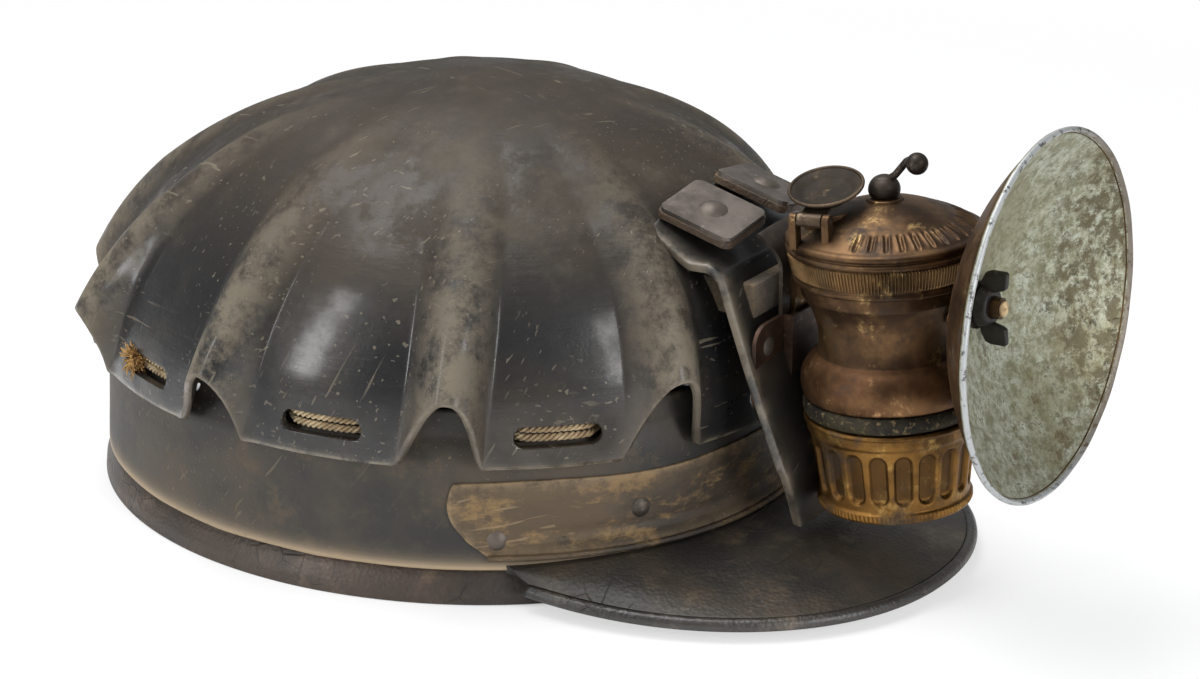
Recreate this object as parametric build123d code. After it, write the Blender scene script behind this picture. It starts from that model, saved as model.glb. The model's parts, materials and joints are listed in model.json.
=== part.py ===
from build123d import *
import os
from math import acos, atan2, cos, degrees, hypot, pi, radians, sin, tan

os.makedirs("parts", exist_ok=True)

# A fluted miner's crash helmet with a small carbide cap lamp on its front.
# All lengths in millimetres, angles in degrees.
# Origin: centre of the head opening, on the surface that the helmet rests on.
# +Z is up, the visor and the lamp point along -Y, and +X is the wearer's left.
# A place round the helmet is an angle from the front, positive to the wearer's right.

# Crown: a stiff fibre dome with pressed ribs, open at its lower edge
hem_half_length = 113.0
hem_half_width = 99.0
hem_height = 42.0
hem_centre = 4.0
dome_rise = 84.0
dome_lead = 13.0
dome_fullness_share = 0.92
crown_wall = 2.3
rib_angles = (25.0, 59.0, 95.5, 131.0, 163.0)
rib_height = 14.0
rib_half_width = 12.0
rib_start_share = 0.42
rib_growth_share = 1.1
rib_end_rise = 19.0
rib_end_step = 8.0
hem_overrun = 0.6
crown_shares = (0.08, 0.2, 0.35, 0.5, 0.62, 0.72, 0.81, 0.89, 0.95, 1.0)
rib_point_shares = (-1.25, -0.85, -0.45, 0.0, 0.45, 0.85, 1.25)
widest_rib_share = 0.64
slot_length = 25.0
slot_height = 6.6
slot_rise = 9.3

# Lacing: one doubled cord that ties the crown to the cap band
cord_radius = 1.05
cord_spacing = 2.6
cord_stitch_half = 9.0
cord_dive_half = 18.5
cord_clearance = 0.75
cord_bend_share = 0.35
knot_length = 5.0
knot_gap = 0.75
knot_panel_angle = 113.25
band_hole_place = 13.6
band_hole_length = 12.6
band_hole_height = 7.4

# Cap band and sweatband
band_wall = 1.8
band_foot = 10.0
band_top = 57.0
band_hem_gap = 0.9
band_foot_flare = 1.9
band_draw_in_rise = 6.5
sweatband_wall = 2.0
sweatband_gap = 0.6
sweatband_top = 36.0
sweatband_flare_half_length = 112.5
sweatband_flare_half_width = 99.3
sweatband_shoulder = 9.6

# Cradle inside the crown
cradle_gap = 0.5
cradle_wall = 1.5
cradle_drop = 16.0
cradle_leg_width = 19.0
cradle_foot = 45.0
cradle_angles = (42.0, 77.25, 113.25, 147.0)
cradle_ring_radius = 13.0
drawstring_radius = 1.2
drawstring_gap = 0.8

# Visor
visor_thickness = 2.5
visor_half_width = 76.0
visor_corner = 66.0
visor_reach = 167.0
visor_roundness_share = 0.93
visor_root_height = 12.0
visor_root_fall = 1.5
visor_edge_height = 5.0
visor_edge_lift = 3.0
visor_drop_share = 1.4
visor_root_angle = 50.0
visor_edge_angle = 84.0
visor_gap = 0.3
binding_radius = 1.9
visor_stations = 17
visor_along_shares = (0.0, 0.25, 0.5, 0.75, 1.0)
visor_lift_power = 6
binding_stations = 25
binding_step_share = 0.01
binding_inner_share = 0.9

# Leather strip over the visor seam
strip_gap = 0.3
strip_thickness = 2.2
strip_foot = 13.8
strip_top = 37.0
strip_angle = 57.0
rivet_head_radius = 3.0
rivet_head_height = 1.2
rivet_shank_radius = 1.4
rivet_hole_gap = 0.2
rivet_seat_gap = 0.2
strip_rivet_places = ((50.6, 19.5), (27.8, 25.5))

# Lamp strap: a fibre bracket from the crown's top, down its front to the visor
strap_half_width = 28.0
strap_thickness = 2.8
strap_rear = 86.0
strap_rear_height = 105.4
strap_shoulder_depth = 4.0
strap_face = 118.4
strap_bend_height = 97.4
strap_bend_radius = 9.0
strap_curl_height = 34.0
strap_curl_radius = 14.0
strap_toe = 128.5
strap_toe_height = 15.6
strap_side_fall = 4.6
strap_tongue_half_width = 4.0
strap_taper_height = 38.0
strap_stations = 25
strap_across_shares = (-1.0, -0.5, 0.0, 0.5, 1.0)

# Clamp plates and their pads on the strap's top
plate_half_gap = 4.0
plate_width = 20.0
plate_length = 24.0
plate_thickness = 1.3
plate_corner = 2.5
pad_thickness = 2.2
pad_overhang = 0.8
plate_place = 98.5
plate_seat_gap = 0.3
plate_rivet_radius = 4.2
plate_rivet_height = 1.6

# Lamp holder on the strap's face
holder_half_width = 12.6
holder_thickness = 1.2
holder_window = 8.4
holder_window_top = 96.0
holder_gap = 0.3
holder_rear = 111.8
holder_stations = 15
keeper_foot = 52.0
keeper_top = 78.0
keeper_half_width = 26.0
keeper_wall = 1.2
keeper_channel_half_width = 9.6
keeper_channel_depth = 2.9
keeper_rivet_place = 19.0
keeper_rivet_rows = (60.0, 71.0)
keeper_rivet_radius = 2.8
keeper_rivet_height = 1.0
keeper_corner = 5.6

# Felt between strap and crown
felt_width = 40.0
felt_height = 10.0
felt_gap = 0.4

# Lamp frame: its foot point and backward lean
lamp_reach = 153.8
lamp_foot = 10.0
lamp_lean = 4.4

# Lamp heights, measured along the lamp's axis from its foot point
cup_bottom = 15.5
cup_top = 41.3
gasket_top = 46.2
flange_top = 48.4
waist_height = 62.0
neck_height = 77.0
ring_bottom = 79.9
ring_top = 84.6
bead_height = 91.2
shoulder_height = 94.2
dome_foot = 100.0
dome_top = 104.4

# Lamp radii
cup_bottom_radius = 21.9
cup_radius = 24.3
thread_radius = 20.0
flange_radius = 24.0
waist_radius = 20.0
neck_radius = 24.2
ring_radius = 25.5
bead_radius = 28.0
shoulder_radius = 25.8
dome_radius = 19.0
sheet_wall = 1.0
thread_clearance = 0.06
thread_depth = 8.0
flange_thickness = 1.8
seam_gap = 0.3
lid_lap = 6.0
face_gap = 0.1

# Fluted sides of the carbide cup
flute_count = 24
flute_height = 15.0
flute_width = 4.2
flute_depth = 0.8
flute_centre = 28.5
rim_height = 3.0
rim_step = 0.7

# Lid details
notch_count = 13
notch_spread = 150.0
notch_length = 5.6
notch_width = 1.3
notch_depth = 0.9
door_reach_x = 9.3
door_reach_y = 12.4
door_radius = 10.6
door_floor_radius = 7.0
door_depth = 2.6
door_sheet = 0.8
door_open_angle = 16.0
door_turn = 7.0
filler_radius = 6.4
filler_wall = 1.0
filler_top = 102.4
door_lift = 0.3
hinge_reach = 12.9
hinge_pin_radius = 0.8
hinge_pin_length = 12.0
hinge_ear_radius = 1.9
hinge_ear_width = 2.2
hinge_bore_gap = 0.06
hinge_side_gap = 0.25
boss_radius = 4.4
boss_top_radius = 3.2
boss_top = 107.4

# Water valve
rod_radius = 1.4
tube_radius = 3.0
tube_bore = 2.0
tube_foot = 42.5
rod_foot = 43.5
lever_hub_radius = 3.0
lever_hub_height = 2.6
lever_wire_radius = 1.05
lever_ball_radius = 3.1
lever_reach = 10.5
lever_rise = 5.0
lever_turn_radius = 3.4

# Felt filter under the tank
filter_radius = 18.3
filter_thickness = 4.0
retainer_thickness = 0.9
retainer_hole_count = 6
filter_place = 40.5

# Reflector and burner
dish_radius = 50.8
dish_depth = 22.0
dish_wall = 0.8
dish_hub = 8.0
dish_rim_radius = 1.3
dish_middle_share = 0.30
dish_middle_radius_share = 0.56
dish_reach = 175.6
dish_height = 88.8
dish_tilt = 2.3
stem_radius = 3.0
stem_bore = 1.2
stem_back = 10.0
stem_front = 7.6
seat_back_radius = 9.0
seat_front_radius = 5.6
seat_length = 12.0
washer_radius = 6.6
washer_thickness = 0.8
nut_radius = 5.4
nut_height = 4.0
nut_clearance = 0.05
wing_span = 10.6
wing_thickness = 1.8
wing_height = 6.0
tip_radius = 2.1
tip_length = 6.5
tip_bore = 0.5

# Lamp hook on the tank's back
hook_plane_gap = 0.8
hook_thickness = 1.5
hook_half_width = 6.6
hook_foot = 56.5
hook_top = 90.0
hook_pad_height = 8.0

# Lengths of cutters and of blanks that are cut back
overrun = 5.0
drill_length = 30.0
far = 300.0


def save(shape, node):
    export_step(shape, f"parts/{node}.step")


def oval_point(angle, half_length, half_width, centre, height):
    """Point on a level oval, at an angle from the front towards the wearer's right."""
    turn = radians(angle)
    return Vector(-half_width * sin(turn), centre - half_length * cos(turn), height)


def oval_speed(angle):
    """Arc length along the hem for each radian of angle."""
    turn = radians(angle)
    return hypot(hem_half_width * cos(turn), hem_half_length * sin(turn))


def oval_normal(angle):
    """Level outward direction of the hem's oval."""
    turn = radians(angle)
    return Vector(-hem_half_length * sin(turn), -hem_half_width * cos(turn), 0).normalized()


def oval_plane(angle, half_length, half_width, centre, height):
    """Upright plane touching a level oval, with its normal pointing out."""
    out = oval_normal(angle)
    place = oval_point(angle, half_length, half_width, centre, height)
    return Plane(origin=place, x_dir=Vector(-out.Y, out.X, 0), z_dir=out)


def oval_wire(half_length, half_width, centre, height):
    plane = Plane(origin=(0, centre, height), x_dir=(0, 1, 0), z_dir=(0, 0, 1))
    return Wire([Edge.make_ellipse(half_length, half_width, plane=plane)])


def oval_loft(levels):
    """Solid through level ovals, each given as half length, half width, centre and height."""
    return Solid.make_loft([oval_wire(*level) for level in levels], ruled=True)


def inset_levels(levels, inset):
    return [(length - inset, width - inset, centre, height) for length, width, centre, height in levels]


def crown_level(height):
    """Half length, half width and centre of the plain dome at a height."""
    angle = acos((height - hem_height) / dome_rise)
    share = angle / (pi / 2)
    swell = sin(angle) ** dome_fullness_share
    centre = hem_centre - dome_lead * (1 - share ** 2)
    return hem_half_length * swell, hem_half_width * swell, centre


def crown_inset_level(height, inset):
    length, width, centre = crown_level(height)
    return length - inset, width - inset, centre, height


def mirrored(angles):
    return sorted(sign * angle for angle in angles for sign in (-1, 1))


all_ribs = mirrored(rib_angles)
panel_angles = [
    (low + high) / 2
    for low, high in zip(all_ribs, all_ribs[1:] + [all_ribs[0] + degrees(2 * pi)])
]
slot_centre_height = hem_height + slot_rise


def dome_section(share, inset, drop):
    """Closed level curve round the dome, at a share of the way from apex to hem."""
    angle = share * pi / 2
    swell = sin(angle) ** dome_fullness_share
    centre = hem_centre - dome_lead * (1 - share ** 2)
    height = hem_height + (dome_rise - drop) * cos(angle)
    growth = max(0.0, (share - rib_start_share) / (1 - rib_start_share))
    lift = rib_height * growth ** rib_growth_share
    narrowed = rib_half_width - inset
    points = []
    for rib in all_ribs:
        reach = degrees(narrowed / oval_speed(rib) / max(swell, widest_rib_share))
        for place in rib_point_shares:
            bump = cos(place * pi / 2) ** 2 if abs(place) < 1 else 0.0
            out = lift * bump - inset
            length = hem_half_length * swell + out
            width = hem_half_width * swell + out
            points.append(oval_point(rib + place * reach, length, width, centre, height))
    return Wire([Edge.make_spline(points, periodic=True)])


def dome_solid(inset, drop):
    return Solid.make_loft([dome_section(share, inset, drop) for share in crown_shares])


def plain_dome(inset, drop):
    """Dome of the crown's form without its ribs."""
    wires = []
    for share in crown_shares:
        angle = share * pi / 2
        swell = sin(angle) ** dome_fullness_share
        centre = hem_centre - dome_lead * (1 - share ** 2)
        height = hem_height + (dome_rise - drop) * cos(angle)
        length = hem_half_length * swell - inset
        width = hem_half_width * swell - inset
        wires.append(oval_wire(length, width, centre, height))
    return Solid.make_loft(wires)


def hem_trimmer():
    """All that lies below the hem, and outside a cone that slants the rib ends."""
    block = Pos(0, 0, hem_height) * Box(far, far, 2 * rib_end_rise)
    foot = (hem_half_length + hem_overrun, hem_half_width + hem_overrun, hem_centre, hem_height)
    spread = hem_overrun + rib_end_step
    head = (hem_half_length + spread, hem_half_width + spread, hem_centre, hem_height + rib_end_rise)
    return block - oval_loft([foot, head])


def make_crown_shell():
    """Ribbed fibre dome with a slanted arch at each rib's foot and a lacing slot in each panel."""
    shell = dome_solid(0.0, 0.0) - dome_solid(crown_wall, crown_wall)
    length, width, centre = crown_level(slot_centre_height)
    slots = []
    for angle in panel_angles:
        plane = oval_plane(angle, length, width, centre, slot_centre_height)
        slots.append(extrude(plane * SlotOverall(slot_length, slot_height), overrun, both=True))
    return shell - hem_trimmer() - slots


# Lacing and the inner bands
cord_gap = 2 * cord_radius + 2 * cord_clearance
band_inset = crown_wall + cord_gap
cord_outer_inset = crown_wall + cord_clearance + cord_radius
cord_inner_inset = band_inset + band_wall + cord_clearance + cord_radius
draw_in_height = hem_height + band_draw_in_rise
band_foot_half_length = hem_half_length - crown_wall - band_hem_gap + band_foot_flare
band_foot_half_width = hem_half_width - crown_wall - band_hem_gap + band_foot_flare


def lacing_path(height):
    """Running stitch: outside the cap band behind each slot, inside it behind each rib."""
    length, width, centre = crown_level(slot_centre_height)
    places = []
    for angle in panel_angles:
        if angle == knot_panel_angle:
            knot_place = len(places) + 2
        for offset, inset in (
            (-cord_dive_half, cord_inner_inset),
            (-cord_stitch_half, cord_outer_inset),
            (cord_stitch_half, cord_outer_inset),
            (cord_dive_half, cord_inner_inset),
        ):
            places.append((angle + degrees(offset / oval_speed(angle)), inset))
        next_rib = min(rib for rib in all_ribs + [all_ribs[0] + degrees(2 * pi)] if rib > angle)
        places.append((next_rib, cord_inner_inset))
    before, after = knot_ends(knot_gap)
    route = [(after, cord_outer_inset), *places[knot_place + 1:], *places[:knot_place]]
    route.append((before, cord_outer_inset))
    return smooth_route([
        oval_point(angle, length - inset, width - inset, centre, height) for angle, inset in route
    ])


def knot_ends(gap):
    """Angles of the knot's two ends, each moved out by a gap."""
    speed = oval_speed(knot_panel_angle)
    middle = knot_panel_angle + degrees(cord_stitch_half / speed)
    reach = degrees((knot_length / 2 + gap) / speed)
    return middle - reach, middle + reach


def smooth_route(points):
    """Straight runs joined by the largest tangent arcs that leave part of each run."""
    radii = []
    for before, here, after in zip(points, points[1:], points[2:]):
        first = here - before
        second = after - here
        turn = radians(first.get_angle(second))
        radii.append(cord_bend_share * min(first.length, second.length) / tan(turn / 2))
    return FilletPolyline(*points, radius=radii)


def swept_tube(path, radius):
    plane = Plane(origin=path @ 0, z_dir=path % 0)
    return sweep(plane * Circle(radius), path=path)


def make_lacing_cord():
    """Two strands of the doubled cord, one above the other."""
    strands = []
    for side in (-1, 1):
        height = slot_centre_height + side * cord_spacing / 2
        strands.append(swept_tube(lacing_path(height), cord_radius))
    return Compound(children=strands)


def make_lacing_knot():
    """Knot that joins the strands' ends in a slot's rear end."""
    length, width, centre = crown_level(slot_centre_height)
    inset = cord_outer_inset
    ends = [
        oval_point(angle, length - inset, width - inset, centre, slot_centre_height)
        for angle in knot_ends(0.0)
    ]
    along = ends[1] - ends[0]
    plane = Plane(origin=ends[0], x_dir=(0, 0, 1), z_dir=along)
    height = cord_spacing + 2 * cord_radius
    return extrude(plane * SlotOverall(height, 2 * cord_radius), along.length)


def band_levels():
    plain = (band_foot_half_length - band_foot_flare, band_foot_half_width - band_foot_flare)
    return [
        (band_foot_half_length, band_foot_half_width, hem_centre, band_foot),
        (*plain, hem_centre, hem_height),
        crown_inset_level(draw_in_height, band_inset),
        crown_inset_level(band_top, band_inset),
    ]


def band_size_at(height):
    """Outer half length and half width of the cap band's lower wall at a height."""
    share = (height - band_foot) / (hem_height - band_foot)
    return (
        band_foot_half_length - band_foot_flare * share,
        band_foot_half_width - band_foot_flare * share,
    )


def make_cap_band():
    """Fibre wall that carries the crown, with a pair of lacing holes at each slot."""
    levels = band_levels()
    wall = oval_loft(levels) - oval_loft(inset_levels(levels, band_wall))
    length, width, centre = crown_level(slot_centre_height)
    for angle in panel_angles:
        for side in (-1, 1):
            place = angle + side * degrees(band_hole_place / oval_speed(angle))
            plane = oval_plane(place, length - band_inset, width - band_inset, centre, slot_centre_height)
            wall -= extrude(plane * SlotOverall(band_hole_length, band_hole_height), overrun, both=True)
    return wall - strip_rivet_holes()


def make_sweatband():
    """Leather lining whose flared foot carries the helmet."""
    shoulder = band_size_at(band_foot)
    head = band_size_at(sweatband_top)
    tuck = band_wall + sweatband_gap
    levels = [
        (sweatband_flare_half_length, sweatband_flare_half_width, hem_centre, 0.0),
        (shoulder[0] - tuck, shoulder[1] - tuck, hem_centre, sweatband_shoulder),
        (head[0] - tuck, head[1] - tuck, hem_centre, sweatband_top),
    ]
    return oval_loft(levels) - oval_loft(inset_levels(levels, sweatband_wall))


def cradle_dome(inset):
    return plain_dome(band_inset + band_wall + cradle_gap + inset, cradle_drop + inset)


def make_cradle():
    """Leather tongues inside the crown, gathered round an open ring at the top."""
    skin = cradle_dome(0.0) - cradle_dome(cradle_wall)
    legs = []
    top = Vector(0, hem_centre - dome_lead, cradle_foot)
    for angle in mirrored(cradle_angles):
        out = oval_point(angle, hem_half_length, hem_half_width, hem_centre, cradle_foot) - top
        plane = Plane(origin=top, x_dir=out, z_dir=(0, 0, 1))
        leg = plane * Box(far / 2, cradle_leg_width, far / 2, align=(Align.MIN, Align.CENTER, Align.MIN))
        legs.append(leg)
    hole = Pos(0, hem_centre - dome_lead, hem_height) * Cylinder(cradle_ring_radius, far)
    return skin & (legs[0] + legs[1:] - hole)


def make_cradle_drawstring():
    """Cord ring that gathers the tongues' tips, lying under them."""
    swell = (cradle_ring_radius + cord_radius) / (hem_half_width - band_inset)
    top = hem_height + (dome_rise - cradle_drop) * (1 - swell ** 2 / 2)
    height = top - cradle_wall - drawstring_radius - drawstring_gap
    ring = Torus(cradle_ring_radius + 2 * drawstring_radius, drawstring_radius)
    return Pos(0, hem_centre - dome_lead, height) * ring


# Visor, its edge and the strip over its seam
def visor_point(across, along):
    """Point on the visor's middle surface: across from -1 to 1, along from root to edge 0 to 1."""
    length, width = band_size_at(visor_root_height)
    root_height = visor_root_height - visor_root_fall * across ** 2
    root = oval_point(
        across * visor_root_angle, length + visor_gap, width + visor_gap, hem_centre, root_height
    )
    turn = radians(across * visor_edge_angle)
    side = 1 if turn > 0 else -1
    edge = Vector(
        -side * visor_half_width * abs(sin(turn)) ** visor_roundness_share,
        -visor_corner - (visor_reach - visor_corner) * cos(turn) ** visor_roundness_share,
        visor_edge_height + visor_edge_lift * across ** visor_lift_power,
    )
    point = root + (edge - root) * along
    level = root.Z + (edge.Z - root.Z) * along ** visor_drop_share
    return Vector(point.X, point.Y, level)


def make_visor():
    """Stiff leather peak, falling away from the cap band to its edge."""
    rows = []
    for step in range(visor_stations):
        across = -1 + 2 * step / (visor_stations - 1)
        points = [visor_point(across, along) for along in visor_along_shares]
        span = points[-1] - points[0]
        rows.append((points, Vector(span.Y, -span.X, 0).normalized()))
    return sheet_solid(rows, visor_thickness)


def sheet_solid(rows, thickness):
    """Sheet of even thickness through rows of points, each row flat and given with its plane's normal."""
    wires = []
    last = len(rows[0][0]) - 1
    for points, normal in rows:
        front = []
        back = []
        for place, point in enumerate(points):
            along = points[min(place + 1, last)] - points[max(place - 1, 0)]
            step = normal.cross(along).normalized() * (thickness / 2)
            front.append(point + step)
            back.append(point - step)
        wires.append(Wire([
            Edge.make_spline(front),
            Edge.make_line(front[-1], back[-1]),
            Edge.make_spline(back[::-1]),
            Edge.make_line(back[0], front[0]),
        ]))
    return Solid.make_loft(wires)


def make_visor_binding():
    """Rolled bead along the visor's free edge."""
    shares = [-1 + 2 * step / (binding_stations - 1) for step in range(binding_stations)]
    wires = []
    for across in shares:
        here = visor_point(across, 1.0)
        ahead = visor_point(min(across + binding_step_share, 1.0), 1.0)
        behind = visor_point(max(across - binding_step_share, -1.0), 1.0)
        inner = visor_point(across, binding_inner_share)
        along = (ahead - behind).normalized()
        out = here - inner
        out = (out - along * out.dot(along)).normalized()
        centre = here + out * (binding_radius + visor_gap)
        wires.append(Wire([Edge.make_circle(binding_radius, Plane(origin=centre, x_dir=out, z_dir=along))]))
    return Solid.make_loft(wires)


def strip_levels(offset):
    levels = []
    for height in (strip_foot, strip_top):
        length, width = band_size_at(height)
        levels.append((length + offset, width + offset, hem_centre, height))
    return levels


def rivet_plane(angle, height, offset):
    length, width = band_size_at(height)
    return oval_plane(angle, length + offset, width + offset, hem_centre, height)


def each_strip_rivet():
    return [(side * angle, height) for angle, height in strip_rivet_places for side in (-1, 1)]


def strip_rivet_holes():
    holes = []
    for angle, height in each_strip_rivet():
        plane = rivet_plane(angle, height, 0.0)
        holes.append(extrude(plane * Circle(rivet_shank_radius + rivet_hole_gap), overrun, both=True))
    return holes


def make_visor_strip():
    """Leather strip round the band's front, over the visor's root."""
    wall = oval_loft(strip_levels(strip_gap + strip_thickness)) - oval_loft(strip_levels(strip_gap))
    corner = oval_point(strip_angle, far, far, hem_centre, 0)
    wedge = Polyline((0, hem_centre), (corner.X, corner.Y), (-corner.X, corner.Y), close=True)
    sector = extrude(make_face(wedge), far)
    return (wall & sector) - strip_rivet_holes()


def make_strip_rivets():
    """Domed rivets through strip and band."""
    rivets = []
    reach = strip_gap + strip_thickness + rivet_seat_gap
    for angle, height in each_strip_rivet():
        plane = rivet_plane(angle, height, reach)
        head = domed_head(rivet_head_radius, rivet_head_height)
        shank = Cylinder(
            rivet_shank_radius, reach + band_wall, align=(Align.CENTER, Align.CENTER, Align.MAX)
        )
        rivets.append(plane * (head + shank))
    return Compound(children=rivets)


def domed_head(radius, height):
    """Rivet head with a round top and a flat seat at zero."""
    ball_radius = (radius ** 2 + height ** 2) / (2 * height)
    ball = Pos(0, 0, height - ball_radius) * Sphere(ball_radius)
    keep = Cylinder(radius, height, align=(Align.CENTER, Align.CENTER, Align.MIN))
    return ball & keep


# Lamp strap and what is fixed on it
strap_line = FilletPolyline(
    (0, -strap_rear, strap_rear_height),
    (0, -strap_face, strap_bend_height),
    (0, -strap_face, strap_curl_height),
    (0, -strap_toe, strap_toe_height),
    radius=[strap_bend_radius, strap_curl_radius],
)
strap_slope = degrees(atan2(strap_rear_height - strap_bend_height, strap_face - strap_rear))


def strap_row(share, half_width, offset):
    """Points across the strap at a share of its length, off its middle by an offset, and their plane."""
    point = strap_line @ share
    along = strap_line % share
    out = Vector(0, along.Z, -along.Y)
    depth = point.Z - strap_bend_height + strap_shoulder_depth
    flat = min(max(depth / strap_shoulder_depth, 0.0), 1.0)
    row = []
    for across in strap_across_shares:
        fall = strap_side_fall * (across * half_width / strap_half_width) ** 2 * flat
        row.append(point + out * (offset - fall) + Vector(across * half_width, 0, 0))
    return row, along


def make_lamp_strap():
    """Fibre bracket, round over the crown, upright behind the lamp, pointed at its foot."""
    shares = [step / (strap_stations - 1) for step in range(strap_stations)]
    rows = [strap_row(share, strap_half_width, 0.0) for share in shares]
    strap = sheet_solid(rows, strap_thickness)
    for side in (-1, 1):
        corner = Polyline(
            (side * strap_half_width * 2, strap_taper_height),
            (side * strap_half_width, strap_taper_height),
            (side * strap_tongue_half_width, 0),
            (side * strap_half_width * 2, 0),
            close=True,
        )
        strap -= extrude(Plane.XZ * make_face(corner), far)
    for frame in plate_frames():
        strap -= frame * Cylinder(rivet_shank_radius + rivet_hole_gap, drill_length)
    return strap


def plate_frames():
    """Seat of each clamp plate's pad, on the strap's top."""
    centre = plate_half_gap + plate_width / 2
    height = strap_rear_height - (plate_place - strap_rear) * tan(radians(strap_slope))
    fall = strap_side_fall * (centre / strap_half_width) ** 2
    seat = strap_thickness / 2 + plate_seat_gap
    top = height - fall + seat / cos(radians(strap_slope))
    roll = degrees(atan2(2 * fall, centre))
    return [
        Pos(side * centre, -plate_place, top) * Rot(strap_slope, side * roll, 0)
        for side in (-1, 1)
    ]


def plate_blank(width, length, thickness):
    blank = extrude(RectangleRounded(width, length, plate_corner), thickness)
    return blank - Cylinder(rivet_shank_radius + rivet_hole_gap, drill_length)


def make_strap_pads():
    """Leather pads between the strap and the clamp plates."""
    size = (plate_width + pad_overhang, plate_length + pad_overhang)
    return Compound(children=[frame * plate_blank(*size, pad_thickness) for frame in plate_frames()])


def make_clamp_plate(frame):
    """Steel plate that clamps the strap to the crown."""
    return frame * Pos(0, 0, pad_thickness) * plate_blank(plate_width, plate_length, plate_thickness)


def make_plate_rivets():
    """Large domed rivets through plates, pads and strap."""
    rivets = []
    stack = pad_thickness + plate_thickness
    reach = stack + strap_thickness
    for frame in plate_frames():
        head = domed_head(plate_rivet_radius, plate_rivet_height)
        shank = Cylinder(rivet_shank_radius, reach, align=(Align.CENTER, Align.CENTER, Align.MAX))
        rivets.append(frame * Pos(0, 0, stack) * (head + shank))
    return Compound(children=rivets)


strap_front = strap_face + strap_thickness / 2


def make_holder_strip():
    """Metal strip bent over the strap's shoulder, its lower part two rails beside the hook."""
    offset = (strap_thickness + holder_thickness) / 2 + holder_gap
    fine = [step / far for step in range(round(far))]
    start = next(share for share in fine if (strap_line @ share).Y < -holder_rear)
    end = max(share for share in fine if (strap_line @ share).Z > keeper_top + face_gap)
    shares = [start + (end - start) * step / (holder_stations - 1) for step in range(holder_stations)]
    strip = sheet_solid([strap_row(share, holder_half_width, offset) for share in shares], holder_thickness)
    window_height = holder_window_top - keeper_top + overrun
    window = Box(
        2 * holder_window, 4 * overrun, window_height, align=(Align.CENTER, Align.CENTER, Align.MAX)
    )
    return strip - Pos(0, -strap_front, holder_window_top) * window


def make_keeper_plate():
    """Plate on the strap's face with a raised channel that takes the lamp's hook."""
    front = -strap_front
    channel_front = front - keeper_channel_depth - keeper_wall
    half = keeper_channel_half_width
    outline = [
        (-keeper_half_width, front),
        (-keeper_half_width, front - keeper_wall),
        (-half - keeper_wall, front - keeper_wall),
        (-half - keeper_wall, channel_front),
        (half + keeper_wall, channel_front),
        (half + keeper_wall, front - keeper_wall),
        (keeper_half_width, front - keeper_wall),
        (keeper_half_width, front),
        (half, front),
        (half, front - keeper_channel_depth),
        (-half, front - keeper_channel_depth),
        (-half, front),
    ]
    section = Pos(0, 0, keeper_foot) * make_face(Polyline(*outline, close=True))
    plate = extrude(section, keeper_top - keeper_foot)
    middle = (0, front + overrun, (keeper_foot + keeper_top) / 2)
    plane = Plane(origin=middle, x_dir=(1, 0, 0), z_dir=(0, -1, 0))
    blank = RectangleRounded(2 * keeper_half_width, keeper_top - keeper_foot, keeper_corner)
    return plate & extrude(plane * blank, 4 * overrun)


def make_keeper_rivets():
    """Small rivets on the keeper plate's wings."""
    rivets = []
    for side in (-1, 1):
        for height in keeper_rivet_rows:
            place = (side * keeper_rivet_place, -strap_front - keeper_wall, height)
            plane = Plane(origin=place, z_dir=(0, -1, 0))
            rivets.append(plane * domed_head(keeper_rivet_radius, keeper_rivet_height))
    return Compound(children=rivets)


def make_front_felt():
    """Felt packing between the strap's back and the crown's front."""
    back = -strap_face + strap_thickness / 2 + felt_gap
    top = strap_bend_height - strap_bend_radius
    block = Pos(0, back, top) * Box(
        felt_width, drill_length, felt_height, align=(Align.CENTER, Align.MIN, Align.MAX)
    )
    return block - dome_solid(-felt_gap, 0.0)


# Lamp
lamp_frame = Pos(0, -lamp_reach, lamp_foot) * Rot(-lamp_lean, 0, 0)
dish_frame = Pos(0, -dish_reach, dish_height) * Rot(90 - dish_tilt, 0, 0)
door_frame = Pos(-door_reach_x, door_reach_y, filler_top + door_lift) * Rot(0, 0, door_turn)
hinge_frame = door_frame * Pos(-hinge_reach, 0, 0)


def turned(points):
    """Solid of revolution about the local Z axis from radius and height pairs."""
    outline = make_face(Polyline(*[(r, 0, h) for r, h in points], close=True))
    return revolve(outline, Axis.Z)


def make_carbide_cup():
    """Fluted brass cup for the carbide, screwed up onto the tank's threaded boss."""
    bore = thread_radius + thread_clearance
    floor = cup_bottom + sheet_wall
    cup = turned([
        (0, cup_bottom),
        (cup_bottom_radius, cup_bottom),
        (cup_bottom_radius, cup_bottom + rim_height),
        (cup_bottom_radius - rim_step, cup_bottom + rim_height),
        (cup_radius - rim_step, cup_top - rim_height),
        (cup_radius, cup_top - rim_height),
        (cup_radius, cup_top),
        (bore, cup_top),
        (bore, cup_top - thread_depth),
        (cup_bottom_radius - rim_step - 2 * sheet_wall, floor),
        (0, floor),
    ])
    lean = (cup_radius - cup_bottom_radius) / (cup_top - cup_bottom)
    radius = cup_bottom_radius - rim_step + lean * (flute_centre - cup_bottom)
    for step in range(flute_count):
        angle = step * degrees(2 * pi) / flute_count
        plane = Plane(origin=(radius - flute_depth, 0, flute_centre), x_dir=(0, 0, 1), z_dir=(1, 0, 0))
        flute = extrude(plane * SlotOverall(flute_height, flute_width), overrun)
        cup -= Rot(0, 0, angle) * flute
    return lamp_frame * cup


def make_gasket():
    """Rubber ring between cup and tank."""
    inner = thread_radius + seam_gap
    ring = turned([
        (inner, cup_top + face_gap),
        (flange_radius, cup_top + face_gap),
        (flange_radius, gasket_top - face_gap),
        (inner, gasket_top - face_gap),
    ])
    return lamp_frame * ring


def tank_outline(inset):
    """Outer or inner line of the tank's waist, from its flange to its neck."""
    return ThreePointArc(
        (flange_radius - sheet_wall - inset, 0, flange_top),
        (waist_radius - inset, 0, waist_height),
        (neck_radius - inset, 0, neck_height),
    )


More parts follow.
